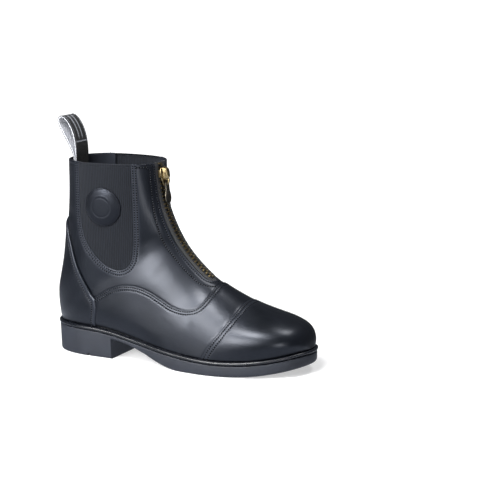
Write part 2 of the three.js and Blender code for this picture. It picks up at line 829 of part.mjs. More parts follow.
function buildOutsole() {
  const shelf = weltThickness + 2 * gap;
  const under = (x) => groundZ(x);
  const board = loftLoops([
    planLoop(-seatInset, (x) => featherZ(x) - gap),
    planLoop(-seatInset, (x) => featherZ(x) - shelf),
    planLoop(soleReach - 0.8, (x) => featherZ(x) - shelf),
    planLoop(soleReach, (x) => featherZ(x) - shelf - 0.8),
    planLoop(soleReach - 0.2, (x) => under(x) + 0.35 * (featherZ(x) - shelf - under(x))),
    planLoop(soleReach - 1.4, under),
  ], false);
  const heel = loftLoops([
    planLoop(soleReach, (x) => featherZ(x) - shelf - 0.8),
    planLoop(soleReach - heelTaper, () => groundRound + 0.5),
    planLoop(soleReach - heelTaper - 0.35 * groundRound, () => 0.3 * groundRound),
    planLoop(soleReach - heelTaper - groundRound, () => 0),
  ], false);
  const behindBreast = boxSolid(-far, breastX, -far, far, -far, far);
  let sole = toSolid(board).add(toSolid(heel).intersect(behindBreast));
  treadGrooves().forEach((groove) => {
    sole = sole.subtract(groove);
  });
  return sole;
}

// Grooves across the tread, short of the edges, and one notch right across the heel.
function treadGrooves() {
  const halfAt = (x, side) => {
    const points = featherSides[side];
    const k = points.findIndex((p) => p.x < x);
    return points[Math.max(k, 0)].y;
  };
  const groove = (x, open) => {
    const margin = open ? -far : treadMargin;
    const low = halfAt(x, 'outer') + margin;
    const high = halfAt(x, 'inner') - margin;
    const base = groundZ(x) * (x < breastX ? 0 : 1);
    const depth = open ? notchDepth : treadDepth;
    return boxSolid(x - treadWidth / 2, x + treadWidth / 2, low, high, base - depth, base + depth);
  };
  const grooves = [];
  const notchX = heelCentreX + 0.75 * treadPitch;
  grooves.push(groove(notchX, true));
  [-1.75, -0.75, 1.75].forEach((k) => grooves.push(groove(heelCentreX + k * treadPitch, false)));
  const firstX = 0.5 * footLength;
  const lastX = footLength - treadMargin - treadPitch;
  for (let x = firstX; x < lastX; x += treadPitch) grooves.push(groove(x, false));
  return grooves;
}

// Welt: a strip all round, sloping out to a round bead. rows: out from the feather line, and down.
function buildWelt() {
  const rows = [
    { out: -seatInset + gap, down: 0 },
    { out: 0.7, down: 0 },
    { out: 0.6 * weltReach, down: 0.13 * weltThickness },
    { out: 0.88 * weltReach, down: 0.33 * weltThickness },
    { out: weltReach, down: 0.58 * weltThickness },
    { out: 0.9 * weltReach, down: 0.86 * weltThickness },
    { out: 0.7 * weltReach, down: weltThickness },
    { out: -seatInset + gap, down: weltThickness },
  ];
  const loops = rows.map(({ out, down }) => planLoop(out, (x) => featherZ(x) - gap - down));
  return toSolid(loftLoops(loops, true));
}

// The insole's edge leans in with the wall of the upper.
function buildInsole() {
  const edge = -upperWall - 3.5 * gap;
  const lean = 0.35 * insoleThickness;
  return toSolid(loftLoops([
    planLoop(edge, (x) => featherZ(x)),
    planLoop(edge - lean, (x) => featherZ(x) + 0.7 * insoleThickness),
    planLoop(edge - 2.2 * lean, (x) => featherZ(x) + insoleThickness),
  ], false));
}

function buildZipTape() {
  const runs = slotRuns(gap, zipLength - gap);
  const stations = runs.map((run) => ({
    run,
    half: slotHalf(run, gap),
    low: -tapeSink - tapeThickness,
    high: -tapeSink,
  }));
  return ridgeBar(stations);
}

// Closed row of teeth as one bar whose edge steps in and out.
function buildZipTeeth() {
  const start = 0.55 * slotHalfWidth;
  const end = zipLength - 1.5;
  const count = Math.round((end - start) / toothPitch);
  const low = -tapeSink + gap;
  const stations = [];
  for (let k = 0; k <= 2 * count; k += 1) {
    const run = start + (k / (2 * count)) * (end - start);
    const tooth = k % 2 === 0;
    const half = chainHalfWidth - (tooth ? 0 : chainNotch);
    stations.push({ run, half, low, high: low + chainThickness - (tooth ? 0 : 0.4) });
  }
  return ridgeBar(stations);
}
const chainTop = gap - tapeSink + chainThickness;

// Slider and pull are drawn flat: X across the zip, Y up the zip, Z out from it.
const sliderRun = zipLength - sliderDrop - sliderLength / 2;
const plateTop = chainTop + gap + sliderPlate;
const bridgeLow = -0.5 * sliderLength;
const bridgeHigh = 0.36 * sliderLength;
const pivotAlong = bridgeLow + bridgeBar + 1.8;
const pivotOut = plateTop + bridgeWindow / 2;

function buildSlider() {
  const half = sliderHalfWidth;
  const top = sliderLength / 2;
  const outline = new THREE.Shape();
  outline.moveTo(-0.45 * half, -top);
  outline.lineTo(0.45 * half, -top);
  outline.quadraticCurveTo(0.95 * half, -0.35 * top, half, 0.35 * top);
  outline.quadraticCurveTo(half, 0.9 * top, 0.5 * half, top);
  outline.lineTo(-0.5 * half, top);
  outline.quadraticCurveTo(-half, 0.9 * top, -half, 0.35 * top);
  outline.quadraticCurveTo(-0.95 * half, -0.35 * top, -0.45 * half, -top);
  const options = { depth: sliderPlate, bevelEnabled: false, curveSegments: 4 };
  const plate = new THREE.ExtrudeGeometry(outline, options);
  plate.translate(0, 0, chainTop + gap);
  const flangeIn = chainHalfWidth + gap + 0.4;
  const flangeOut = 0.86 * half;
  const flange = (side) => {
    const [a, b] = [side * flangeIn, side * flangeOut].sort((p, q) => p - q);
    return boxSolid(a, b, -0.1 * top, 0.7 * top, -0.5 * tapeSink, chainTop + gap + 0.5 * sliderPlate);
  };
  const bridgeTop = plateTop + bridgeWindow + bridgeBar;
  const side = new THREE.Shape();
  side.moveTo(bridgeLow, plateTop - 0.6);
  side.lineTo(bridgeHigh, plateTop - 0.6);
  side.lineTo(bridgeHigh, plateTop + 0.4 * bridgeWindow);
  side.lineTo(0.5 * bridgeHigh, bridgeTop);
  side.lineTo(0.6 * bridgeLow, bridgeTop);
  side.lineTo(bridgeLow, plateTop + 0.8 * bridgeWindow);
  const window = new THREE.Path();
  window.moveTo(bridgeLow + bridgeBar, plateTop);
  window.lineTo(bridgeLow + bridgeBar, plateTop + 0.75 * bridgeWindow);
  window.lineTo(0.55 * bridgeLow, plateTop + bridgeWindow);
  window.lineTo(0.4 * bridgeHigh, plateTop + bridgeWindow);
  window.lineTo(0.4 * bridgeHigh, plateTop);
  side.holes.push(window);
  const bridge = new THREE.ExtrudeGeometry(side, { depth: 2 * bridgeHalfWidth, bevelEnabled: false });
  bridge.rotateX(Math.PI / 2);
  bridge.rotateZ(Math.PI / 2);
  bridge.translate(-bridgeHalfWidth, 0, 0);
  return toSolid(plate).add(flange(-1)).add(flange(1)).add(toSolid(bridge));
}

// Teardrop pull with an eye round the slider's bridge. It hangs from the middle of its top bar.
function buildPull() {
  const eyeHalf = bridgeHalfWidth + pullPlay;
  const bar = pullThickness;
  const neck = eyeHalf + bar;
  const tip = -pullLength;
  const outline = new THREE.Shape();
  outline.moveTo(-neck, bar / 2);
  outline.lineTo(-neck, 0.6 * -pullEye);
  outline.quadraticCurveTo(-neck, 0.38 * tip, -0.9 * pullHalfWidth, 0.55 * tip);
  outline.quadraticCurveTo(-1.25 * pullHalfWidth, 0.8 * tip, -0.6 * pullHalfWidth, 0.95 * tip);
  outline.quadraticCurveTo(0, 1.05 * tip, 0.6 * pullHalfWidth, 0.95 * tip);
  outline.quadraticCurveTo(1.25 * pullHalfWidth, 0.8 * tip, 0.9 * pullHalfWidth, 0.55 * tip);
  outline.quadraticCurveTo(neck, 0.38 * tip, neck, 0.6 * -pullEye);
  outline.lineTo(neck, bar / 2);
  const eye = new THREE.Path();
  eye.moveTo(-eyeHalf, -bar / 2);
  eye.lineTo(eyeHalf, -bar / 2);
  eye.lineTo(eyeHalf, -pullEye);
  eye.lineTo(-eyeHalf, -pullEye);
  outline.holes.push(eye);
  const options = { depth: pullThickness, bevelEnabled: false, curveSegments: 5 };
  const plate = new THREE.ExtrudeGeometry(outline, options);
  plate.translate(0, 0, -pullThickness / 2);
  return toSolid(plate);
}

// Tape loop, standing up from inside the collar's back.
function buildPullLoop() {
  const last = sections[sections.length - 1];
  const baseX = last.backX * footLength + upperWall;
  const line = curvePoints(loopRows.map((row) => new THREE.Vector2(
    baseX + row.out * loopRise,
    collarHeight + row.up * loopRise,
  )), 2);
  const edge = (side) => line.map((p, k) => {
    const before = line[Math.max(k - 1, 0)];
    const after = line[Math.min(k + 1, line.length - 1)];
    const along = after.clone().sub(before).normalize();
    return new THREE.Vector2(p.x - side * along.y, p.y + side * along.x);
  });
  const half = loopThickness / 2;
  const strip = new THREE.Shape([...edge(half), ...edge(-half).reverse()]);
  return sidePrism(strip, -loopWidth / 2, loopWidth / 2);
}

function leather(color, roughness) {
  return new THREE.MeshStandardMaterial({ color, roughness, metalness: 0 });
}
const blackLeather = leather(0x1f2228, 0.4);
const liningLeather = leather(0x2b2b2d, 0.8);
const elastic = leather(0x2a2d33, 0.9);
const rubber = leather(0x3a3b3f, 0.75);
const weltRubber = leather(0x17181c, 0.35);
const webbing = leather(0x25272b, 0.85);
const tapeCloth = leather(0x1a1b1e, 0.9);
const antiqueBrass = new THREE.MeshStandardMaterial({ color: 0x8a7a55, roughness: 0.35, metalness: 1 });
const darkMetal = new THREE.MeshStandardMaterial({ color: 0x4a4843, roughness: 0.35, metalness: 1 });

const group = new THREE.Group();

function addPiece(name, solid, material) {
  const mesh = new THREE.Mesh(toGeometry(solid), material);
  mesh.name = name;
  group.add(mesh);
  return mesh;
}

// Seats a flat-drawn piece on the zip, its origin at a place along and out from the ridge. It leans
// in by an angle, as the pull does until it rests on the teeth.
function seatOnZip(mesh, run, along, out, leanDegrees) {
  const { point, tangent, normal } = ridgeFrame(run);
  const basis = new THREE.Matrix4().makeBasis(new THREE.Vector3(0, 1, 0), tangent, normal);
  mesh.quaternion.setFromRotationMatrix(basis);
  mesh.position.copy(point).addScaledVector(tangent, along).addScaledVector(normal, out);
  mesh.rotateX((leanDegrees * Math.PI) / 180);
}

addPiece('outsole', buildOutsole(), rubber);
addPiece('welt', buildWelt(), weltRubber);
addPiece('insole', buildInsole(), liningLeather);
addPiece('upper', buildUpper(), blackLeather);
addPiece('vamp', buildVamp(), blackLeather);
addPiece('toe_cap', buildToeCap(), blackLeather);
addPiece('counter', buildCounter(), blackLeather);
addPiece('gore_outer', buildGore(-1), elastic);
addPiece('gore_inner', buildGore(1), elastic);
addPiece('badge', buildBadge(), blackLeather);
addPiece('zip_tape', buildZipTape(), tapeCloth);
addPiece('zip_teeth', buildZipTeeth(), antiqueBrass);
seatOnZip(addPiece('zip_slider', buildSlider(), antiqueBrass), sliderRun, 0, 0, 0);
seatOnZip(addPiece('zip_pull', buildPull(), darkMetal), sliderRun, pivotAlong, pivotOut, pullLean);
addPiece('pull_loop', buildPullLoop(), webbing);

// The origin is the middle of the heel's ground face.
group.position.set(-heelCentreX, 0, 0);

export default group;
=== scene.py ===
import math

import bmesh
import bpy
import numpy as np
from mathutils import Matrix, Vector
from mathutils.bvhtree import BVHTree


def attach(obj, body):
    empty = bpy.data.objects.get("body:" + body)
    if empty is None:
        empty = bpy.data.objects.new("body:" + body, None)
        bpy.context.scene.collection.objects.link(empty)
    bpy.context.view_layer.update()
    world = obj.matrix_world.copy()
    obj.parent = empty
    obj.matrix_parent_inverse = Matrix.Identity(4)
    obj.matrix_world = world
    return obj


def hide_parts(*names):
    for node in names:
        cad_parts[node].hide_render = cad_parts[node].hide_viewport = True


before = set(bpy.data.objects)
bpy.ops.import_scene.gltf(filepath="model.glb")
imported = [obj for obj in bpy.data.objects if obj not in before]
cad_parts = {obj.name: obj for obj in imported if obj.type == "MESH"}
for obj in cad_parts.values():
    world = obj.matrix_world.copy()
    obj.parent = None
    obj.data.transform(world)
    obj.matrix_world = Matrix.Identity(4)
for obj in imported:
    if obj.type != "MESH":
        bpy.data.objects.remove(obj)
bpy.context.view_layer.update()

# Sizes of the last.
# Millimetres, x from the back of the heel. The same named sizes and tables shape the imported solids.
last = dict(length=264.0, ball=90.0, instep=68.0, shaft=160.5, heelSeat=31.5, ballSeat=15.8, toeSpring=8.7)
heelCentre = 35.0
mm = 0.001

featherRows = dict(
    x=[0, 0.12, 0.24, 0.38, 0.52, 0.65, 0.76, 0.88, 1],
    heel=[1, 0.98, 0.86, 0.51, 0.18, 0.013, 0, 0, 0],
    toe=[0, 0, 0, 0, 0, 0, 0, 0.32, 1])
groundRows = dict(
    x=[0, 0.265, 0.34, 0.42, 0.48, 0.535, 0.58, 0.7, 0.8, 0.9, 1.02],
    arch=[1, 1, 0.86, 0.52, 0.22, 0.04, 0, 0, 0, 0, 0],
    spring=[0, 0, 0, 0, 0, 0, 0, 0, 0.12, 0.47, 1.2])
outerRows = dict(
    x=[1, 0.982, 0.93, 0.83, 0.68, 0.52, 0.38, 0.25, 0.12, 0.035, 0],
    y=[0.07, -0.11, -0.275, -0.42, -0.495, -0.455, -0.385, -0.345, -0.325, -0.22, 0])
innerRows = dict(
    x=[1, 0.982, 0.93, 0.84, 0.72, 0.58, 0.46, 0.36, 0.24, 0.12, 0.035, 0],
    y=[0.07, 0.24, 0.37, 0.46, 0.485, 0.41, 0.33, 0.29, 0.3, 0.32, 0.22, 0])
sectionRows = dict(
    feather=[0, 0.065, 0.135, 0.22, 0.31, 0.4, 0.5, 0.61, 0.73, 0.87, 1, 1, 1, 1, 1, 1],
    backX=[0, 0, 0, 0, 0, 0, 0, 0, 0, 0, 0, -0.007, 0.019, 0.038, 0.047, 0.049],
    backUp=[0, 0, 0, 0, 0, 0, 0, 0, 0, 0, 0, 0.159, 0.377, 0.614, 0.813, 1],
    ridgeX=[1, 0.992, 0.968, 0.915, 0.85, 0.784, 0.708, 0.625, 0.557, 0.504, 0.466, 0.439,
            0.424, 0.417, 0.413, 0.411],
    ridgeUp=[0, 0.165, 0.34, 0.475, 0.563, 0.636, 0.737, 0.86, 1, 1.2, 1.45, 0.72, 0.813, 0.894, 0.95, 1],
    side=[0.07, 0.07, 0.07, 0.064, 0.053, 0.042, 0.029, 0.018, 0.011, 0.007, 0.003, 0, 0, 0, 0, 0],
    half=[0, 0.044, 0.067, 0.089, 0.133, 0.2, 0.267, 0.333, 0.367, 0.378, 0.378, 0.383, 0.389, 0.4, 0.411,
          0.422],
    wide=[0.3, 0.3, 0.3, 0.28, 0.26, 0.24, 0.22, 0.22, 0.24, 0.28, 0.34, 0.4, 0.45, 0.47, 0.48, 0.48],
    front=[2.2, 2.2, 2.25, 2.3, 2.3, 2.3, 2.3, 2.2, 2.2, 2.25, 2.3, 2.4, 2.5, 2.5, 2.5, 2.5],
    back=[2, 2, 2, 2, 2, 2, 2, 2, 2, 2, 2.1, 2.15, 2.2, 2.3, 2.3, 2.3])
heelRow = 10
collarRow = 15

# Seams in side view, as (share of length, share of rise). Foot seams count from the ball seat by
# the instep rise, shaft seams from the heel seat by the shaft rise.
vampRows = [(0.25, 0.776), (0.303, 0.856), (0.367, 0.87), (0.42, 0.82), (0.473, 0.723), (0.519, 0.635),
            (0.572, 0.6), (0.614, 0.644), (0.636, 0.753), (0.646, 0.856)]
capRows = [(0.64, -0.2), (0.663, 0.018), (0.689, 0.194), (0.72, 0.356), (0.742, 0.503),
           (0.755, 0.63), (0.757, 0.8)]
counterRows = [(-0.05, 0.67), (0.025, 0.655), (0.068, 0.576), (0.093, 0.493), (0.121, 0.383), (0.152, 0.287),
               (0.186, 0.195)]
counterFoot = [(0.205, 0.165), (0.21, 0.1), (0.2, 0.01), (0.194, -0.1)]
goreRows = [(0.142, 0.688), (0.159, 0.551), (0.197, 0.452), (0.242, 0.383), (0.288, 0.355), (0.324, 0.371),
            (0.345, 0.421), (0.352, 0.52)]
badgeCentre = (0.242, 0.738)
zipEndX = 0.632
loopRows = [(0.128, -0.45), (0.13, -0.1), (0.132, 0.125), (0.112, 0.35), (0.055, 0.588), (-0.04, 0.788),
            (-0.15, 0.925), (-0.262, 0.982), (-0.342, 0.945), (-0.355, 0.85), (-0.3, 0.715), (-0.185, 0.515),
            (-0.065, 0.31), (0.025, 0.135), (0.07, -0.05), (0.072, -0.45)]


def column(values, u):
    v = np.asarray(values, float)
    v = np.concatenate([[2 * v[0] - v[1]], v, [2 * v[-1] - v[-2]]])
    u = np.asarray(u, float)
    i = np.clip(np.floor(u).astype(int), 0, len(values) - 2)
    f = u - i
    a, b, c, d = v[i], v[i + 1], v[i + 2], v[i + 3]
    return 0.5 * (2 * b + (c - a) * f + (2 * a - 5 * b + 4 * c - d) * f**2 + (3 * b - a - 3 * c + d) * f**3)


def runAlong(line):
    # Distance along a line of points, from its first one.
    return np.concatenate([[0], np.cumsum(np.linalg.norm(np.diff(line, axis=0), axis=1))])


def rowAt(rows, x):
    return np.interp(x, rows["x"], np.arange(len(rows["x"])))


def featherZ(x):
    u = rowAt(featherRows, np.asarray(x) / last["length"])
    heel = (last["heelSeat"] - last["ballSeat"]) * column(featherRows["heel"], u)
    return last["ballSeat"] + heel + last["toeSpring"] * column(featherRows["toe"], u)


def groundZ(x):
    u = rowAt(groundRows, np.asarray(x) / last["length"])
    arch = np.clip(column(groundRows["arch"], u), 0, 1)
    return sole["breastHeight"] * arch + last["toeSpring"] * np.maximum(column(groundRows["spring"], u), 0)


def traceSide(rows, other):
    u = np.linspace(1, len(rows["x"]), 401)
    xs = column([other["x"][1], *rows["x"], other["x"][-2]], u) * last["length"]
    ys = column([other["y"][1], *rows["y"], other["y"][-2]], u) * last["ball"]
    run = np.concatenate([[0], np.cumsum(np.hypot(np.diff(xs), np.diff(ys)))])
    return dict(x=xs, y=ys, run=run)


featherSides = (traceSide(outerRows, innerRows), traceSide(innerRows, outerRows))


def featherPoint(share, side):
    line = featherSides[side]
    run = np.clip(share, 0, 1) * line["run"][-1]
    return np.interp(run, line["run"], line["x"]), np.interp(run, line["run"], line["y"])


def rowRidgeHeight(i):
    if i > heelRow:
        return last["heelSeat"] + sectionRows["ridgeUp"][i] * last["shaft"]
    feet = [featherZ(featherPoint(sectionRows["feather"][i], side)[0]) for side in (0, 1)]
    return sum(feet) / 2 + sectionRows["ridgeUp"][i] * last["instep"]


ridgeHeights = [float(rowRidgeHeight(i)) for i in range(collarRow + 1)]


def section(u, half):
    # Points of one section, evenly spaced from the outer foot over the ridge to the inner foot.
    get = {key: float(column(values, u)) for key, values in sectionRows.items()}
    onFoot = u <= heelRow
    feet = []
    for side in (0, 1):
        if onFoot:
            x, y = featherPoint(get["feather"], side)
            feet.append(np.array([x, y, featherZ(x)]))
        else:
            backZ = last["heelSeat"] + get["backUp"] * last["shaft"]
            feet.append(np.array([get["backX"] * last["length"], 0, backZ]))
    ridgeZ = (feet[0][2] + feet[1][2]) / 2 if u <= 0 else float(column(ridgeHeights, u))
    ridge = np.array([get["ridgeX"] * last["length"], get["side"] * last["ball"], ridgeZ])
    footHalf = (feet[1][1] - feet[0][1]) / 2 if onFoot else 0.0
    footMiddle = (feet[1][1] + feet[0][1]) / 2 if onFoot else 0.0
    widest = max((max(get["half"] * last["ball"], 0) ** 6 + (1.015 * footHalf) ** 6) ** (1 / 6), 1e-6)
    start = min(footHalf / widest, 1)
    s = (1 - np.cos(np.pi * np.linspace(0, 1, 241))) / 2
    wide, front, back = get["wide"], get["front"], get["back"]
    low = 1 - (1 - start**back) * np.maximum(1 - s / wide, 0) ** back
    high = 1 - np.maximum((s - wide) / (1 - wide), 0) ** front
    w = np.where(s < wide, np.maximum(low, 0) ** (1 / back), np.maximum(high, 0) ** (1 / front))
    sides = []
    for index, foot in enumerate(feet):
        y = footMiddle + (ridge[1] - footMiddle) * s + (-1 if index == 0 else 1) * widest * w
        line = np.stack([foot[0] + (ridge[0] - foot[0]) * s, y, foot[2] + (ridge[2] - foot[2]) * s], 1)
        run = runAlong(line)
        want = np.linspace(0, run[-1], half + 1)
        sides.append(np.stack([np.interp(want, run, line[:, k]) for k in range(3)], 1))
    return np.concatenate([sides[0], sides[1][::-1][1:]])


# The upper's surface as a fine grid.
def buildGrid():
    us = np.concatenate([np.linspace(0, heelRow, 141)[:-1], np.linspace(heelRow, collarRow, 101)])
    half, du = 78, 0.05
    here = np.array([section(u, half) for u in us])
    before = np.array([section(max(u - du, 0), half) for u in us])
    after = np.array([section(min(u + du, collarRow), half) for u in us])
    # The table's curve is only smooth to its slope, so it is averaged along the boot, for even gloss.
    smooth = here.copy()
    weights = np.exp(-0.5 * (np.arange(-6, 7) / 2.6) ** 2)
    weights /= weights.sum()
    padded = np.concatenate([2 * here[:1] - here[6:0:-1], here, 2 * here[-1:] - here[-2:-8:-1]])
    for k in range(len(here)):
        smooth[k] = np.tensordot(weights, padded[k:k + 13], axes=(0, 0))
    blend = np.clip(np.minimum(us - 0.6, 1), 0, 1)[:, None, None]
    steps = np.arange(2 * half + 1)
    edge = np.clip(np.minimum(steps, 2 * half - steps) / 6.0, 0, 1)[None, :, None]
    edge = np.where(us[:, None, None] > heelRow, 1, edge)
    here = here + (smooth - here) * blend * edge
    along = after - before
    across = np.gradient(here, axis=1)
    normals = np.cross(across, along)
    normals[0] = (1, 0, 0)
    shaft = us > heelRow
    seam = normals[:, 0] + normals[:, -1]
    normals[shaft, 0] = normals[shaft, -1] = seam[shaft]
    t = np.linspace(0, 1, 2 * half + 1)
    foot = np.clip(np.minimum(t, 1 - t) / 0.04, 0, 1)
    foot = foot * foot * (3 - 2 * foot)
    level = np.where(shaft[:, None], 1, foot[None, :])
    normals[:, :, 2] *= level
    normals /= np.linalg.norm(normals, axis=2, keepdims=True)
    return us, here, normals


gridUs, gridPoints, gridNormals = buildGrid()


def gridFaces():
    rows, cols = gridPoints.shape[:2]
    index = np.arange(rows * cols).reshape(rows, cols)
    index[0, :] = 0
    index[gridUs >= heelRow, -1] = index[gridUs >= heelRow, 0]
    a, b, c, d = index[:-1, :-1], index[:-1, 1:], index[1:, 1:], index[1:, :-1]
    left = np.arange(cols - 1)[None, :] < (cols - 1) // 2
    first = np.where(left[..., None], np.stack([a, b, c], -1), np.stack([b, c, d], -1))
    second = np.where(left[..., None], np.stack([a, c, d], -1), np.stack([b, d, a], -1))
    faces = np.concatenate([first.reshape(-1, 3), second.reshape(-1, 3)])
    good = (faces[:, 0] != faces[:, 1]) & (faces[:, 1] != faces[:, 2]) & (faces[:, 0] != faces[:, 2])
    return faces[good]


baseFaces = gridFaces()
basePoints = gridPoints.reshape(-1, 3)
baseNormals = gridNormals.reshape(-1, 3)
baseSide = np.tile(np.sign(np.arange(gridPoints.shape[1]) - gridPoints.shape[1] // 2), gridPoints.shape[0])


# Seams in side view.
def smoothCurve(points, perSpan=12):
    p = np.asarray(points, float)
    n = len(p)
    out = []
    for i in range(n - 1):
        a, b, c, d = p[max(i - 1, 0)], p[i], p[i + 1], p[min(i + 2, n - 1)]
        for w in np.arange(perSpan) / perSpan:
            v0, v1 = (c - a) / 2, (d - b) / 2
            out.append((2 * b - 2 * c + v0 + v1) * w**3 + (-3 * b + 3 * c - 2 * v0 - v1) * w**2 + v0 * w + b)
    out.append(p[-1])
    return np.array(out)


def onFoot(rows):
    return [(x * last["length"], last["ballSeat"] + up * last["instep"]) for x, up in rows]


def onShaft(rows):
    return [(x * last["length"], last["heelSeat"] + up * last["shaft"]) for x, up in rows]


far = 400.0
capCurve = smoothCurve(onFoot(capRows))
vampCurve = smoothCurve(onFoot(vampRows))
counterCurve = np.concatenate([smoothCurve(onShaft(counterRows)), smoothCurve(onShaft(counterFoot))])
goreCurve = smoothCurve(onShaft(goreRows))
goreCurve = np.concatenate([[(goreCurve[0][0], far)], goreCurve, [(goreCurve[-1][0], far)]])


def seamField(x, z, normals, seam, closing):
    # Distance in from a seam over the surface, in millimetres, negative outside its region.
    a, b = seam[:-1], seam[1:]
    ab = b - a
    p = np.stack([x, z], 1)
    best = np.full(len(p), 1e9)
    gradient = np.zeros((len(p), 2))
    for k in range(len(a)):
        length = max(float(ab[k] @ ab[k]), 1e-12)
        f = np.clip(((p - a[k]) @ ab[k]) / length, 0, 1)
        away = p - (a[k] + f[:, None] * ab[k])
        distance = np.hypot(away[:, 0], away[:, 1])
        closer = distance < best
        best[closer] = distance[closer]
        gradient[closer] = away[closer]
    gradient /= np.maximum(best, 1e-9)[:, None]
    polygon = np.concatenate([seam, np.reshape(np.asarray(closing, float), (-1, 2))])
    inside = np.zeros(len(p), bool)
    q = np.roll(polygon, -1, axis=0)
    for (x0, z0), (x1, z1) in zip(polygon, q):
        if z0 == z1:
            continue
        crosses = (z0 > z) != (z1 > z)
        inside ^= crosses & (x < x0 + (z - z0) / (z1 - z0) * (x1 - x0))
    slope = gradient[:, 0] * normals[:, 0] + gradient[:, 1] * normals[:, 2]
    stretch = 1 / np.sqrt(np.maximum(1 - slope**2, 0.15))
    # The stretch counts near the seam only, where it is the true distance over the leather.
    near = np.clip(1.5 - best / 20, 0, 1)
    return np.where(inside, 1, -1) * best * (1 + (stretch - 1) * near)


def capField(x, z, normals):
    return seamField(x, z, normals, capCurve, [(capCurve[-1][0], far), (far, far), (far, capCurve[0][1])])


def counterField(x, z, normals):
    return seamField(x, z, normals, counterCurve, [(-far, counterCurve[-1][1]), (-far, counterCurve[0][1])])


def vampSeamField(x, z, normals):
    seam = np.concatenate([[(vampCurve[0][0] - 60, vampCurve[0][1] - 40)], vampCurve,
                           [(vampCurve[-1][0] + 6, vampCurve[-1][1] + 30)]])
    return seamField(x, z, normals, seam, [(far, far), (far, -far), (seam[0][0], -far)])


def goreField(x, z, normals):
    return seamField(x, z, normals, goreCurve, [])


# The front ridge.
def traceRidge():
    middle = gridPoints.shape[1] // 2
    line = gridPoints[gridUs >= 4, middle]
    start = int(np.argmax(line[:, 0] < zipEndX * last["length"]))
    return line[start:], runAlong(line[start:])


ridgeLine, ridgeRun = traceRidge()
zipLength = float(ridgeRun[-1])


def ridgePoint(run):
    return np.stack([np.interp(run, ridgeRun, ridgeLine[:, k]) for k in range(3)], 1)


def ridgeFrame(run):
    # Point, tangent up the boot and outward normal of the ridge, for one run or many. It goes on straight
    # past both ends.
    run = np.atleast_1d(np.asarray(run, float))
    point = ridgePoint(run)
    ahead = ridgePoint(np.clip(run + 3, 6, zipLength))
    behind = ridgePoint(np.clip(run - 3, 0, zipLength - 6))
    tangent = ahead - behind
    tangent[:, 1] = 0
    tangent /= np.linalg.norm(tangent, axis=1, keepdims=True)
    point = point + tangent * (run - np.clip(run, 0, zipLength))[:, None]
    normal = np.stack([tangent[:, 2], np.zeros(len(run)), -tangent[:, 0]], 1)
    return point, tangent, normal


slot = dict(halfWidth=9.0, flare=4.0)


def slotHalf(run, reach=0.0):
    radius = slot["halfWidth"] - reach
    low = np.minimum((run - reach) / radius, 1)
    top = np.clip((run - zipLength + slot["flare"]) / slot["flare"], 0, 1)
    flare = slot["flare"] * (1 - np.sqrt(np.maximum(1 - top * top, 0)))
    inside = radius * np.sqrt(np.maximum(1 - (1 - low) ** 2, 0))
    return np.where(run < reach, -np.abs(run - reach), inside + (0 if reach > 0 else flare))


def ridgeCoordinates(points):
    # Run along the ridge and distance across it, for points near the zip.
    run = np.zeros(len(points))
    best = np.full(len(points), 1e9)
    xz = ridgeLine[:, [0, 2]]
    for k in range(0, len(xz) - 1):
        a, b = xz[k], xz[k + 1]
        ab = b - a
        low = -1e9 if k == 0 else 0
        f = np.clip(((points[:, [0, 2]] - a) @ ab) / (ab @ ab), low, 1)
        away = np.linalg.norm(points[:, [0, 2]] - (a + f[:, None] * ab), axis=1)
        closer = away < best
        best[closer] = away[closer]
        run[closer] = ridgeRun[k] + f[closer] * np.sqrt(ab @ ab)
    return run, np.abs(points[:, 1] - np.interp(run, ridgeRun, ridgeLine[:, 1])), best


def throatField(points):
    # Distance out from the throat's edge over the surface, negative inside the throat.
    run, across, depth = ridgeCoordinates(points)
    shape = np.stack([run, across], 1)
    radius, flare = slot["halfWidth"], slot["flare"]
    runs = np.concatenate([radius * np.linspace(0, 1, 20) ** 2,
                           np.linspace(radius + 2, zipLength - flare, 40),
                           zipLength - flare + flare * np.linspace(0.1, 1, 12), [zipLength + 10]])
    edge = np.stack([runs, slotHalf(np.minimum(runs, zipLength))], 1)
    best = np.full(len(points), 1e9)
    near = (across < 40) & (run > -60) & (depth < 40)
    for a, b in zip(edge[:-1], edge[1:]):
        ab = b - a
        f = np.clip(((shape[near] - a) @ ab) / max(ab @ ab, 1e-9), 0, 1)
        best[near] = np.minimum(best[near], np.linalg.norm(shape[near] - (a + f[:, None] * ab), axis=1))
    inside = near & (run > 0) & (across < slotHalf(np.minimum(run, zipLength)))
    best = np.where(near, best, 50)
    return np.where(inside, -best, best)


# Leather sheets cut from the grid.
# A sheet is a table of vertices, base point, base normal and fields, with triangles over it.
sheetColumns = ["x", "y", "z", "nx", "ny", "nz", "side"]


def newSheet(**fields):
    names = sheetColumns + list(fields)
    table = np.column_stack([basePoints, baseNormals, baseSide, *fields.values()])
    return dict(names=names, table=table, faces=baseFaces)


def col(sheet, name):
    return sheet["table"][:, sheet["names"].index(name)]


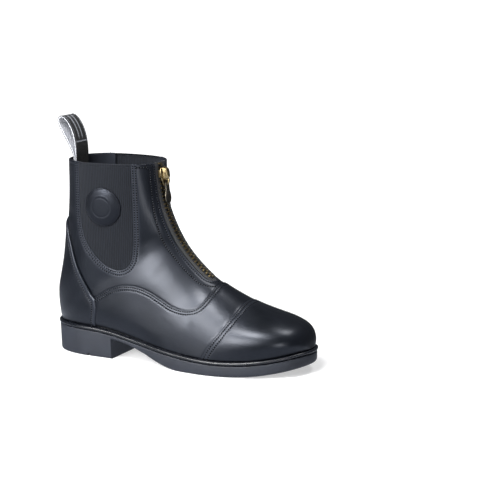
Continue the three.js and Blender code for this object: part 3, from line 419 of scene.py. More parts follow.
def splitAt(sheet, name, value, eps=0.02):
    # Cuts the sheet's triangles along the line where a field has a value.
    k = sheet["names"].index(name)
    table, faces = sheet["table"], sheet["faces"]
    close = np.abs(table[:, k] - value) < eps
    table = table.copy()
    table[close, k] = value
    s = np.sign(table[:, k] - value).astype(int)
    fs = s[faces]
    crossing = (fs.min(1) < 0) & (fs.max(1) > 0)
    kept = faces[~crossing]
    made, added, cache = [], [], {}

    def cut(a, b):
        key = (a, b) if a < b else (b, a)
        if key not in cache:
            p, q = table[key[0]], table[key[1]]
            f = (value - p[k]) / (q[k] - p[k])
            row = p + f * (q - p)
            row[k] = value
            cache[key] = len(table) + len(added)
            added.append(row)
        return cache[key]

    for face, sign in zip(faces[crossing].tolist(), fs[crossing].tolist()):
        if 0 in sign:
            i = sign.index(0)
            a, b, c = face[i], face[(i + 1) % 3], face[(i + 2) % 3]
            m = cut(b, c)
            made += [(a, b, m), (a, m, c)]
        else:
            i = next(i for i in range(3) if sign[i] != sign[(i + 1) % 3] and sign[i] != sign[(i + 2) % 3])
            a, b, c = face[i], face[(i + 1) % 3], face[(i + 2) % 3]
            m, n = cut(a, b), cut(a, c)
            made += [(a, m, n), (m, b, c), (m, c, n)]
    if added:
        table = np.vstack([table, np.array(added)])
        kept = np.vstack([kept, np.array(made, int)])
    return dict(names=sheet["names"], table=table, faces=kept)


def keepWhere(sheet, name, low):
    # Keeps the triangles whose field is at least a value.
    k = sheet["names"].index(name)
    values = sheet["table"][:, k][sheet["faces"]]
    faces = sheet["faces"][(values >= low - 1e-9).all(1) & (values.max(1) > low + 1e-6)]
    used, inverse = np.unique(faces, return_inverse=True)
    return dict(names=sheet["names"], table=sheet["table"][used], faces=inverse.reshape(-1, 3))


def edgeList(faces):
    e = np.sort(np.vstack([faces[:, [0, 1]], faces[:, [1, 2]], faces[:, [2, 0]]]), axis=1)
    return np.unique(e, axis=0, return_counts=True)


def chainsOf(edges):
    # Joins edges into ordered runs of vertices.
    around = {}
    for a, b in edges:
        around.setdefault(int(a), []).append(int(b))
        around.setdefault(int(b), []).append(int(a))
    chains, seen = [], set()
    ends = [v for v, n in around.items() if len(n) == 1] + list(around)
    for start in ends:
        if start in seen:
            continue
        chain = [start]
        seen.add(start)
        while True:
            onward = [v for v in around[chain[-1]] if v not in seen]
            if not onward:
                break
            chain.append(onward[0])
            seen.add(onward[0])
        if len(chain) > 3:
            chains.append(chain)
    return chains


# Main creases, listed in side view: from, to (share of length, share of shaft rise from the
# heel seat), half width and depth in millimetres, and the side of the foot (-1 outer, 1 inner, 0 both).
creaseRows = [
    (0.56, 0.02, 0.66, 0.17, 7.0, 0.35, 0),
    (0.52, 0.10, 0.61, 0.26, 8.0, 0.25, 0),
    (0.50, 0.33, 0.42, 0.42, 9.0, 0.35, -1),
    (0.48, 0.38, 0.40, 0.44, 8.0, 0.40, 1),
    (0.43, 0.52, 0.385, 0.60, 8.0, 0.30, 0),
    (0.05, 0.70, 0.13, 0.60, 6.0, 0.35, 0),
    (0.17, 0.30, 0.30, 0.27, 9.0, 0.35, -1),
    (0.20, 0.28, 0.34, 0.24, 9.0, 0.40, 1),
    (0.27, 0.10, 0.44, 0.04, 10.0, -0.35, 0),
    (0.36, 0.30, 0.50, 0.22, 12.0, -0.40, 0),
]


def creaseDepth(x, z, side):
    p = np.stack([x, z], 1)
    depth = np.zeros(len(p))
    for x0, z0, x1, z1, width, deep, where in creaseRows:
        a, b = np.array(onShaft([(x0, z0), (x1, z1)]))
        ab = b - a
        f = ((p - a) @ ab) / (ab @ ab)
        g = np.clip(f, 0, 1)
        # The trough bends a little, as a fold does, and fades out towards both ends.
        bend = 0.12 * np.sqrt(ab @ ab) * np.sin(np.pi * g)
        across = np.hypot(*(p - (a + g[:, None] * ab)).T)
        sign = np.sign((p - a) @ np.array([-ab[1], ab[0]]))
        away = np.abs(sign * across - bend)
        fade = np.clip(1.15 - np.abs(2 * f - 1), 0, 1) ** 1.5
        amount = deep * np.exp(-((away / width) ** 2)) * fade
        depth += np.where((where == 0) | (side == where) | (side == 0), amount, 0)
    # Slow waves of hand-lasted leather, a few tenths of a millimetre.
    along = np.sin(x / 11.3 + 1.7 * np.sin(z / 23.0) + side)
    depth += 0.09 * along * np.sin(z / 17.0 + 0.6 * side + x / 41.0)
    return depth


def place(sheet, offset, relief=1.0):
    # Millimetre points of a sheet's vertices at an offset out from the surface.
    t = sheet["table"]
    down = relief * creaseDepth(t[:, 0], t[:, 2], t[:, 6])
    return t[:, 0:3] + t[:, 3:6] * (offset - down)[:, None]


def rolledEdge(d, top, radius):
    # Height of a sheet that rolls over at its edge, d being the distance in.
    r = np.minimum(radius, 50)
    k = np.clip(d / r, 0, 1)
    return top - r + np.sqrt(np.maximum(r * r - (r - k * r) ** 2, 0))


def ditch(d, centre, halfWidth, depth):
    return depth * np.exp(-(((d - centre) / halfWidth) ** 2))


def toFrame(points):
    out = np.array(points, float)
    out[:, 0] -= heelCentre
    return out * mm


def newObject(name, data):
    obj = bpy.data.objects.new(name, data)
    bpy.context.scene.collection.objects.link(obj)
    return obj


def outwardFaces(mesh):
    work = bmesh.new()
    work.from_mesh(mesh)
    bmesh.ops.recalc_face_normals(work, faces=work.faces)
    work.to_mesh(mesh)
    work.free()


def makeObject(name, points, faces, material, smooth=True, sharpAngle=None):
    # A mesh object from millimetre points in the last's frame.
    mesh = bpy.data.meshes.new(name)
    mesh.from_pydata(toFrame(points).tolist(), [], faces if isinstance(faces, list) else faces.tolist())
    mesh.validate()
    mesh.update()
    if smooth:
        mesh.shade_smooth()
    if sharpAngle is not None:
        mesh.set_sharp_from_angle(angle=math.radians(sharpAngle))
    if material is not None:
        mesh.materials.append(material)
    return newObject(name, mesh)


def withSkirt(points, faces, normals, lowOffset, heights):
    # Adds a wall down from every open edge, to a lower offset from the same surface.
    edges, counts = edgeList(faces)
    directed = set(map(tuple, np.vstack([faces[:, [0, 1]], faces[:, [1, 2]], faces[:, [2, 0]]]).tolist()))
    extra, index, walls = [], {}, []
    for a, b in edges[counts == 1].tolist():
        if (a, b) not in directed:
            a, b = b, a
        for v in (a, b):
            if v not in index:
                index[v] = len(points) + len(extra)
                extra.append(points[v] - normals[v] * (heights[v] - lowOffset))
        walls += [(b, a, index[a]), (b, index[a], index[b])]
    if not extra:
        return points, faces
    return np.vstack([points, np.array(extra)]), np.vstack([faces, np.array(walls, int)])


def seamRows(sheet, points, name, value, keep=None):
    # Ordered points and normals along the line where a field has a value.
    on = np.abs(col(sheet, name) - value) < 1e-7
    if keep is not None:
        on &= keep
    edges, _ = edgeList(sheet["faces"])
    chosen = edges[on[edges[:, 0]] & on[edges[:, 1]]]
    return [(points[c], sheet["table"][c][:, 3:6]) for c in chainsOf(chosen)]


# Materials.
def linear(hexColor):
    parts = [int(hexColor[i:i + 2], 16) / 255 for i in (1, 3, 5)]
    return tuple(c / 12.92 if c <= 0.04045 else ((c + 0.055) / 1.055) ** 2.4 for c in parts) + (1.0,)


# A wave texture of scale 1 repeats every 0.314 m.
waveUnit = 0.314


def addNode(tree, kind, settings=None, values=None, links=None, stops=None):
    # One node with its settings, socket values and incoming links, given by socket name or number, and
    # a colour ramp's stops in order.
    node = tree.nodes.new(kind)
    for key, value in (settings or {}).items():
        setattr(node, key, value)
    for key, value in (values or {}).items():
        node.inputs[key].default_value = value
    for key, source in (links or {}).items():
        tree.links.new(source, node.inputs[key])
    if stops:
        ramp = node.color_ramp.elements
        for end, (position, color) in zip(ramp, (stops[0], stops[-1])):
            end.position = position
            end.color = linear(color)
        for position, color in stops[1:-1]:
            ramp.new(position).color = linear(color)
    return node


def newMaterial(name, shaderValues):
    material = bpy.data.materials.new(name)
    material.use_nodes = True
    tree = material.node_tree
    tree.nodes.clear()
    shader = addNode(tree, "ShaderNodeBsdfPrincipled", values=shaderValues)
    addNode(tree, "ShaderNodeOutputMaterial", links={"Surface": shader.outputs["BSDF"]})
    coordinates = addNode(tree, "ShaderNodeTexCoord")
    return material, tree, shader, coordinates.outputs["Object"]


def leatherMaterial(name, dark, light, roughness, coat):
    # Polished full-grain cowhide, dyed blue-black and waxed: a soft wide gloss over fine pores,
    # with a shade lighter where the wax is thin.
    material, tree, shader, where = newMaterial(name, {
        "IOR": 1.5, "Coat Weight": coat, "Coat Roughness": 0.26, "Coat IOR": 1.5, "Specular IOR Level": 0.36,
        "Specular Tint": linear("#dbe3f6")})
    cloud = addNode(tree, "ShaderNodeTexNoise", values={"Scale": 28.0, "Detail": 4.0, "Roughness": 0.55},
                    links={"Vector": where})
    dyed = addNode(tree, "ShaderNodeValToRGB", links={"Fac": cloud.outputs["Fac"]},
                   stops=[(0.3, dark), (0.72, light)]).outputs["Color"]
    # Beside the seams the leather is painted a lighter grey: a painted highlight for the puffed leather
    # between the stitch rows catching the light.
    highlightMask = addNode(tree, "ShaderNodeAttribute", settings={"attribute_name": "paintedSeamHighlight"})
    # The grey of the painted seam highlight.
    highlighted = addNode(tree, "ShaderNodeMix", settings={"data_type": "RGBA"}, values={7: linear("#24272e")},
                     links={"Factor": highlightMask.outputs["Fac"], 6: dyed})
    tree.links.new(highlighted.outputs[2], shader.inputs["Base Color"])
    tone = addNode(tree, "ShaderNodeMapRange",
                   values={"From Min": 0.3, "From Max": 0.7,
                           "To Min": roughness - 0.05, "To Max": roughness + 0.06},
                   links={"Value": cloud.outputs["Fac"]})
    tree.links.new(tone.outputs["Result"], shader.inputs["Roughness"])
    # Pores about 0.7 mm apart, and the wider wrinkles of the hide about 3 mm apart.
    pores = addNode(tree, "ShaderNodeTexVoronoi", settings={"feature": "F1"}, values={"Scale": 1400.0},
                    links={"Vector": where})
    wrinkles = addNode(tree, "ShaderNodeTexNoise", values={"Scale": 320.0, "Detail": 3.0, "Roughness": 0.6},
                       links={"Vector": where})
    fine = addNode(tree, "ShaderNodeBump", values={"Strength": 0.1, "Distance": 0.00025},
                   links={"Height": pores.outputs["Distance"]})
    broad = addNode(tree, "ShaderNodeBump", values={"Strength": 0.13, "Distance": 0.0006},
                    links={"Height": wrinkles.outputs["Fac"], "Normal": fine.outputs["Normal"]})
    # The hide's slow unevenness, about 12 mm from crest to crest.
    uneven = addNode(tree, "ShaderNodeTexNoise", values={"Scale": 80.0, "Detail": 1.0},
                     links={"Vector": where})
    slow = addNode(tree, "ShaderNodeBump", values={"Strength": 0.12, "Distance": 0.0018},
                   links={"Height": uneven.outputs["Fac"], "Normal": broad.outputs["Normal"]})
    tree.links.new(slow.outputs["Normal"], shader.inputs["Normal"])
    return material


blackLeather = leatherMaterial("polishedBlackLeather", "#040609", "#090b10", 0.38, 0.2)
liningLeather = leatherMaterial("liningPigskin", "#0e1015", "#16181e", 0.75, 0.0)


def elasticMaterial():
    # Rubber-cored elastic woven with polyester: fine upright ribs 1.8 mm apart, no gloss.
    material, tree, shader, where = newMaterial("wovenElastic", {
        "Roughness": 0.85, "Sheen Weight": 0.06, "Sheen Roughness": 0.5, "IOR": 1.45,
        "Specular IOR Level": 0.25})
    ribs = addNode(tree, "ShaderNodeTexWave", settings={"wave_type": "BANDS", "bands_direction": "X",
                                                         "wave_profile": "SIN"},
                   values={"Scale": 175.0, "Distortion": 0.6, "Detail": 1.0, "Detail Scale": 2.0},
                   links={"Vector": where})
    picks = addNode(tree, "ShaderNodeTexWave", settings={"wave_type": "BANDS", "bands_direction": "Z",
                                                          "wave_profile": "SIN"},
                    values={"Scale": 420.0, "Distortion": 1.0, "Detail": 1.0}, links={"Vector": where})
    mixed = addNode(tree, "ShaderNodeMath", settings={"operation": "MULTIPLY_ADD"}, values={1: 0.35},
                    links={0: picks.outputs["Fac"], 2: ribs.outputs["Fac"]})
    dye = addNode(tree, "ShaderNodeValToRGB", links={"Fac": mixed.outputs["Value"]},
                  stops=[(0.1, "#010204"), (0.6, "#070a10"), (1.0, "#12161e")])
    tree.links.new(dye.outputs["Color"], shader.inputs["Base Color"])
    bump = addNode(tree, "ShaderNodeBump", values={"Strength": 0.5, "Distance": 0.0003},
                   links={"Height": mixed.outputs["Value"]})
    tree.links.new(bump.outputs["Normal"], shader.inputs["Normal"])
    return material


goreElastic = elasticMaterial()


def rubberMaterial(name, dark, light, roughness, grain):
    # Moulded thermoplastic rubber, its skin lightly sparked by the mould: matte, a little worn grey.
    material, tree, shader, where = newMaterial(name, {"IOR": 1.52, "Specular IOR Level": 0.45})
    cloud = addNode(tree, "ShaderNodeTexNoise", values={"Scale": 45.0, "Detail": 5.0, "Roughness": 0.6},
                    links={"Vector": where})
    dye = addNode(tree, "ShaderNodeValToRGB", links={"Fac": cloud.outputs["Fac"]},
                  stops=[(0.3, dark), (0.75, light)])
    tree.links.new(dye.outputs["Color"], shader.inputs["Base Color"])
    tone = addNode(tree, "ShaderNodeMapRange",
                   values={"From Min": 0.3, "From Max": 0.7,
                           "To Min": roughness - 0.06, "To Max": roughness + 0.08},
                   links={"Value": cloud.outputs["Fac"]})
    tree.links.new(tone.outputs["Result"], shader.inputs["Roughness"])
    spark = addNode(tree, "ShaderNodeTexNoise", values={"Scale": 1800.0, "Detail": 2.0},
                    links={"Vector": where})
    bump = addNode(tree, "ShaderNodeBump", values={"Strength": grain, "Distance": 0.0002},
                   links={"Height": spark.outputs["Fac"]})
    tree.links.new(bump.outputs["Normal"], shader.inputs["Normal"])
    return material


soleRubber = rubberMaterial("mouldedSoleRubber", "#15181f", "#1f232c", 0.6, 0.35)
lipRubber = rubberMaterial("glossyLipRubber", "#0b0d11", "#12141a", 0.26, 0.0)


def metalMaterial(name, dark, light, roughness, scratch):
    # Plated zinc, its tone and roughness varying in small random patches.
    material, tree, shader, where = newMaterial(name, {"Metallic": 1.0})
    cloud = addNode(tree, "ShaderNodeTexNoise", values={"Scale": 420.0, "Detail": 4.0, "Roughness": 0.65},
                    links={"Vector": where})
    dye = addNode(tree, "ShaderNodeValToRGB", links={"Fac": cloud.outputs["Fac"]},
                  stops=[(0.35, dark), (0.68, light)])
    tree.links.new(dye.outputs["Color"], shader.inputs["Base Color"])
    tone = addNode(tree, "ShaderNodeMapRange",
                   values={"To Min": roughness + 0.14, "To Max": roughness - 0.06},
                   links={"Value": cloud.outputs["Fac"]})
    tree.links.new(tone.outputs["Result"], shader.inputs["Roughness"])
    bump = addNode(tree, "ShaderNodeBump", values={"Strength": scratch, "Distance": 0.0001},
                   links={"Height": cloud.outputs["Fac"]})
    tree.links.new(bump.outputs["Normal"], shader.inputs["Normal"])
    return material


antiqueBrass = metalMaterial("antiqueBrass", "#5a4e37", "#b3a078", 0.34, 0.2)
# Teeth of the same brass, stamped and tumbled dark, so only their tips shine.
toothBrass = metalMaterial("tumbledBrassTeeth", "#3a3226", "#93835f", 0.4, 0.25)
badgeLeather = leatherMaterial("embossedBadgeLeather", "#040508", "#07080b", 0.46, 0.0)
gunmetal = metalMaterial("gunmetalPlate", "#2b2925", "#6d675b", 0.32, 0.2)


def threadMaterial():
    # Bonded nylon thread, three-ply and waxed, so each stitch has a small bright line.
    material, tree, shader, where = newMaterial("bondedNylonThread", {"Roughness": 0.5, "IOR": 1.53})
    ply = addNode(tree, "ShaderNodeTexNoise", values={"Scale": 2400.0, "Detail": 1.0},
                  links={"Vector": where})
    dye = addNode(tree, "ShaderNodeValToRGB", links={"Fac": ply.outputs["Fac"]},
                  stops=[(0.35, "#14161c"), (0.7, "#262a33")])
    tree.links.new(dye.outputs["Color"], shader.inputs["Base Color"])
    bump = addNode(tree, "ShaderNodeBump", values={"Strength": 0.4, "Distance": 0.0001},
                   links={"Height": ply.outputs["Fac"]})
    tree.links.new(bump.outputs["Normal"], shader.inputs["Normal"])
    return material


thread = threadMaterial()


def holeShadeMaterial():
    # Painted shade of the needle holes: near black and without gloss, standing in for the shadow inside each
    # punched hole.
    material, tree, shader, where = newMaterial("paintedNeedleHoleShade",
                                                {"Roughness": 1.0, "Specular IOR Level": 0.05})
    fibre = addNode(tree, "ShaderNodeTexNoise", values={"Scale": 3000.0}, links={"Vector": where})
    dye = addNode(tree, "ShaderNodeValToRGB", links={"Fac": fibre.outputs["Fac"]},
                  stops=[(0.3, "#020202"), (0.8, "#060708")])
    tree.links.new(dye.outputs["Color"], shader.inputs["Base Color"])
    return material


paintedHoleShade = holeShadeMaterial()


def clothMaterial(name, dark, light, spacing):
    # Plain woven polyester, threads crossing at the given spacing in metres.
    material, tree, shader, where = newMaterial(name, {
        "Roughness": 0.85, "Sheen Weight": 0.15, "Specular IOR Level": 0.3})
    waves = []
    for axis in ("X", "Y", "Z"):
        wave = addNode(tree, "ShaderNodeTexWave", settings={"wave_type": "BANDS", "bands_direction": axis},
                       values={"Scale": waveUnit / spacing, "Distortion": 0.6, "Detail": 1.0},
                       links={"Vector": where})
        waves.append(wave.outputs["Fac"])
    first = addNode(tree, "ShaderNodeMath", settings={"operation": "MULTIPLY"},
                    links={0: waves[1], 1: waves[2]})
    both = addNode(tree, "ShaderNodeMath", settings={"operation": "MULTIPLY_ADD"}, values={1: 0.4},
                   links={0: waves[0], 2: first.outputs["Value"]})
    dye = addNode(tree, "ShaderNodeValToRGB", links={"Fac": both.outputs["Value"]},
                  stops=[(0.1, dark), (0.9, light)])
    tree.links.new(dye.outputs["Color"], shader.inputs["Base Color"])
    bump = addNode(tree, "ShaderNodeBump", values={"Strength": 0.5, "Distance": 0.0002},
                   links={"Height": both.outputs["Value"]})
    tree.links.new(bump.outputs["Normal"], shader.inputs["Normal"])
    return material


zipCloth = clothMaterial("zipTapeCloth", "#0c0d10", "#1a1b20", 0.0008)
print("materials made")


# Leather panels.
def fieldsOfBase():
    x, z = basePoints[:, 0], basePoints[:, 2]
    return dict(cap=capField(x, z, baseNormals), counter=counterField(x, z, baseNormals),
                vamp=vampSeamField(x, z, baseNormals), gore=goreField(x, z, baseNormals),
                throat=throatField(basePoints), top=last["heelSeat"] + last["shaft"] - z)


base = fieldsOfBase()
print("fields made")
edgeLevels = [0.0, 0.1, 0.3, 0.6, 1.0]
seamLines = {}


def keepRough(sheet, name, low):
    # Drops the triangles that lie wholly past a value, before the fine cuts.
    k = sheet["names"].index(name)
    keep = (sheet["table"][:, k][sheet["faces"]] > low).any(1)
    faces = sheet["faces"][keep]
    used, inverse = np.unique(faces, return_inverse=True)
    return dict(names=sheet["names"], table=sheet["table"][used], faces=inverse.reshape(-1, 3))


def cutPanel(fields, edges, levels, lines=None):
    # Cuts a sheet to where every edge field is at least 0, with lines at the levels given.
    sheet = newSheet(**fields)
    for name, values in (lines or {}).items():
        for value in values:
            sheet = splitAt(sheet, name, value)
    for name in edges:
        sheet = keepRough(sheet, name, -4.0)
        for level in levels[name]:
            sheet = splitAt(sheet, name, level)
        sheet = keepWhere(sheet, name, levels[name][0])
    return sheet


def finishPanel(name, sheet, height, low, material, rows, highlightAmount=None):
    # Raises a cut sheet to its height, walls its edges, keeps its stitch lines, and stores the painted
    # highlight beside its seams.
    points = place(sheet, height)
    normals = sheet["table"][:, 3:6]
    for field, value, keep in rows:
        seamLines.setdefault(name, []).extend(seamRows(sheet, points, field, value, keep))
    allPoints, faces = withSkirt(points, sheet["faces"], normals, low, height)
    obj = makeObject(name, allPoints, faces, material)
    if highlightAmount is not None:
        values = np.concatenate([highlightAmount, np.zeros(len(allPoints) - len(points))])
        obj.data.attributes.new("paintedSeamHighlight", "FLOAT", "POINT").data.foreach_set("value", values)
    return obj


def seamHighlightNear(d, reach, strength=0.5):
    # Painted highlight beside the stitch rows: full from the edge to the last row of stitches, gone 2 mm
    # further in.
    return strength * np.clip((reach + 2.0 - d) / 2.0, 0, 1) * np.clip(d / 0.5, 0.35, 1)


# Heights over the upper's surface, how far the vamp runs in under its neighbours, and the leather's wall.
panel = dict(vampTop=1.2, capTop=1.8, counterTop=1.7, vampUnder=3.0, goreSink=0.6, gorePucker=0.16, wall=2.4)


def buildToeCap():
    levels = dict(cap=edgeLevels + [1.9, 2.4, 2.9, 5.4, 5.9, 6.4])
    sheet = cutPanel(dict(cap=base["cap"]), ["cap"], levels)
    d = col(sheet, "cap")
    height = rolledEdge(d, panel["capTop"], 0.9) - ditch(d, 2.4, 0.6, 0.26) - ditch(d, 5.9, 0.6, 0.22)
    stitched = [("cap", 2.4, None), ("cap", 5.9, None)]
    return finishPanel("toeCapLeather", sheet, height, 0.1, blackLeather, stitched, seamHighlightNear(d, 6.2, 0.3))


def buildVamp():
    under = panel["vampUnder"]
    fields = dict(vamp=base["vamp"], cap=np.minimum(under - base["cap"], 60),
                  counter=np.minimum(under - base["counter"], 60))
    levels = dict(vamp=edgeLevels + [1.3, 1.8, 2.3, 3.9, 4.4, 4.9], cap=[0.0, 1.5, 3.0, 3.4, 4.0],
                  counter=[0.0, 1.5, 3.0, 3.4, 4.0])
    sheet = cutPanel(fields, ["vamp", "cap", "counter"], levels)
    d = col(sheet, "vamp")
    height = rolledEdge(d, panel["vampTop"], 0.8) - ditch(d, 1.8, 0.55, 0.26) - ditch(d, 4.4, 0.55, 0.26)
    height = height + ditch(d, 3.1, 0.7, 0.12)
    # Its ends dive under the toe cap and the counter.
    for name in ("cap", "counter"):
        k = np.clip(col(sheet, name) / under, 0, 1)
        height = height - 0.75 * (1 - k * k * (3 - 2 * k)) - ditch(col(sheet, name), 3.3, 0.7, 0.25)
    clear = (col(sheet, "cap") > 3.4) & (col(sheet, "counter") > 3.4)
    stitched = [("vamp", 1.8, clear), ("vamp", 4.4, clear)]
    return finishPanel("vampLeather", sheet, height, 0.0, blackLeather, stitched, seamHighlightNear(d, 4.8, 0.15))


def buildCounter():
    levels = dict(counter=edgeLevels + [2.0, 3.2, 4.2, 4.8, 5.4])
    sheet = cutPanel(dict(counter=base["counter"]), ["counter"], levels)
    d = col(sheet, "counter")
    height = rolledEdge(d, panel["counterTop"], 1.0) + ditch(d, 2.2, 1.5, 0.35) - ditch(d, 4.8, 0.6, 0.3)
    return finishPanel("counterLeather", sheet, height, 0.1, blackLeather, [("counter", 4.8, None)],
                       seamHighlightNear(d, 4.0, 0.35))


def buildQuarters():
    fields = dict(gore=-base["gore"], throat=base["throat"], top=base["top"], vamp=base["vamp"],
                  counter=base["counter"])
    levels = dict(gore=edgeLevels + [1.4, 1.9, 2.4, 4.1, 4.6, 5.1],
                  throat=edgeLevels + [2.2, 2.7, 3.2, 7.2, 7.7, 8.2],
                  top=[0.0, 0.3, 0.8, 2.7, 3.2, 3.7])
    # Where the vamp and the counter lie on it, it is pressed in along their edges.
    pressed = dict(vamp=[-1.2, -0.5, 0.1], counter=[-1.2, -0.5, 0.1])
    sheet = cutPanel(fields, ["gore", "throat", "top"], levels, pressed)
    g, t, top = col(sheet, "gore"), col(sheet, "throat"), col(sheet, "top")
    height = np.minimum(rolledEdge(g, 0.0, 0.8), rolledEdge(t, 0.0, 0.9))
    height = np.minimum(height, rolledEdge(np.maximum(top, 0), 0.0, 0.8))
    for d, centre, depth in ((g, 1.9, 0.24), (g, 4.6, 0.24), (t, 2.7, 0.24), (t, 7.7, 0.2)):
        height = height - ditch(d, centre, 0.5, depth)
    height = height + ditch(g, 3.2, 1.2, 0.12)
    height = height - ditch(top, 3.2, 0.5, 0.12)
    height = height - ditch(col(sheet, "vamp"), 0.1, 0.9, 0.3) - ditch(col(sheet, "counter"), 0.1, 0.9, 0.35)
    below = top > 1.4
    seen = below & (col(sheet, "vamp") < -1.2)
    front = (col(sheet, "x") > 60) & (g > 5.2) & (t > 8.4)
    stitched = [("gore", 1.9, below), ("gore", 4.6, below), ("throat", 2.7, seen), ("throat", 7.7, seen),
                ("top", 3.2, front)]
    return finishPanel("quarterLeather", sheet, height, -panel["wall"] + 0.2, blackLeather, stitched,
                       np.maximum(seamHighlightNear(g, 5.0), seamHighlightNear(t, 2.6, 0.35)))


def buildLining():
    fields = dict(gore=-base["gore"] + 1.0, throat=base["throat"] + 0.5, top=base["top"] - 0.4)
    sheet = cutPanel(fields, ["gore", "throat", "top"], dict(gore=[0.0], throat=[0.0], top=[0.0]))
    sheet["faces"] = sheet["faces"][:, ::-1]
    height = np.full(len(sheet["table"]), -panel["wall"])
    return finishPanel("liningLeather", sheet, height, -panel["wall"] + 0.5, liningLeather, [])


def buildGore(name, side):
    fields = dict(gore=base["gore"] + 2.5, own=baseSide * side * 10.0 - 1.0, top=base["top"] - 0.2)
    levels = dict(gore=[0.0], own=[0.0], top=[0.0, 0.3, 0.8, 1.8, 2.4])
    sheet = cutPanel(fields, ["gore", "own", "top"], levels)
    x, z, top = col(sheet, "x"), col(sheet, "z"), col(sheet, "top")
    edge = np.clip(col(sheet, "gore") / 5.0 - 0.5, 0, 1)
    # The elastic is gathered a little where it is sewn in, and its top is folded over.
    pucker = panel["gorePucker"] * np.sin(x * 1.15 + 2.0 * np.sin(z / 9.0)) * (1 - edge)
    height = -panel["goreSink"] + pucker - 0.5 * (1 - np.clip(col(sheet, "gore") / 2.6, 0, 1))
    fold = 0.7
    rolled = np.sqrt(np.maximum(fold**2 - np.maximum(fold - top, 0) ** 2, 0))
    height = height - (fold - rolled) - ditch(top, 2.1, 0.4, 0.3)
    return finishPanel(name, sheet, height, -panel["wall"] + 0.1, goreElastic, [])


capPiece = buildToeCap()
vampPiece = buildVamp()
counterPiece = buildCounter()
quarterPiece = buildQuarters()
liningPiece = buildLining()
goreOuterPiece = buildGore("goreOuterElastic", -1)
goreInnerPiece = buildGore("goreInnerElastic", 1)
print("panels made", len(quarterPiece.data.polygons), "faces in the quarters")


# Bottom unit.
sole = dict(breastX=70.0, breastHeight=20.0, reach=3.8, seatInset=4.9, taper=0.9, groundRound=2.5,
            weltReach=4.6, weltThickness=4.3, gap=0.3, treadPitch=12.0, treadWidth=2.4, treadDepth=1.4,
            treadMargin=8.0, notchDepth=2.8, insole=3.0)
planCount = 150


def featherAround(share, side):
    # A point of the feather line that runs on to the other side past either end.
    here = featherPoint(share, side)
    there = featherPoint(np.where(share < 0, -share, 2 - share), 1 - side)
    past = (share < 0) | (share > 1)
    return [np.where(past, b, a) for a, b in zip(here, there)]


def planLine(offset):
    # Closed plan loop at an offset out from the feather line, outer side first.
    shares = (1 - np.cos(np.pi * np.linspace(0, 1, planCount + 1))) / 2
    shares = 0.5 * shares + 0.5 * np.linspace(0, 1, planCount + 1)
    sides = []
    step = 0.004
    for side in (0, 1):
        x, y = featherPoint(shares, side)
        x0, y0 = featherAround(shares - step, side)
        x1, y1 = featherAround(shares + step, side)
        dx, dy = x1 - x0, y1 - y0
        length = np.hypot(dx, dy)
        sign = -1 if side == 0 else 1
        sides.append(np.stack([x + sign * offset * dy / length, y - sign * offset * dx / length], 1))
    return np.concatenate([sides[0], sides[1][1:-1][::-1]])


def loft(levels, joined=False):
    # Points and faces of stacked loops, each a plan loop with a height, caps as single faces.
    count = len(levels[0])
    points = np.concatenate(levels)
    faces = []
    pairs = [(k, k + 1) for k in range(len(levels) - 1)] + ([(len(levels) - 1, 0)] if joined else [])
    for a, b in pairs:
        for i in range(count):
            j = (i + 1) % count
            faces.append((a * count + i, a * count + j, b * count + j, b * count + i))
    return points, faces


def closedLoft(loops):
    # Stacked loops with a single face over each end.
    points, faces = loft(loops)
    count = len(loops[0])
    return points, faces + [tuple(range(count)), tuple(range(len(points) - count, len(points)))]


def capStrips(start, count, flip):
    faces = []
    for i in range(count // 2):
        p, q, r, s = i, i + 1, count - i - 1, (count - i) % count
        if q != r:
            faces.append((p, r, q) if not flip else (p, q, r))
        if p != s:
            faces.append((p, s, r) if not flip else (p, r, s))
    return [tuple(start + v for v in f) for f in faces]


def level(offset, height):
    line = planLine(offset)
    return np.column_stack([line, height(line[:, 0])])


def solidOf(name, levels, material=None, joined=False):
    points, faces = loft(levels, joined)
    if not joined:
        count = len(levels[0])
        faces = faces + capStrips(0, count, True) + capStrips((len(levels) - 1) * count, count, False)
    obj = makeObject(name, points, faces, material, smooth=False)
    outwardFaces(obj.data)
    return obj


def boxObject(name, low, high):
    points = [(x, y, z) for x in (low[0], high[0]) for y in (low[1], high[1]) for z in (low[2], high[2])]
    faces = [(0, 1, 3, 2), (4, 6, 7, 5), (0, 4, 5, 1), (2, 3, 7, 6), (0, 2, 6, 4), (1, 5, 7, 3)]
    obj = makeObject(name, points, faces, None, smooth=False)
    outwardFaces(obj.data)
    return obj


def boolean(target, tool, operation):
    modifier = target.modifiers.new("cut", "BOOLEAN")
    modifier.operation = operation
    modifier.solver = "EXACT"
    modifier.object = tool
    bpy.context.view_layer.update()
    made = bpy.data.meshes.new_from_object(target.evaluated_get(bpy.context.evaluated_depsgraph_get()))
    target.modifiers.remove(modifier)
    old = target.data
    target.data = made
    bpy.data.meshes.remove(old)
    bpy.data.objects.remove(tool, do_unlink=True)


def halfAt(x, side):
    line = featherSides[side]
    k = int(np.argmax(line["x"] < x))
    return float(line["y"][k])


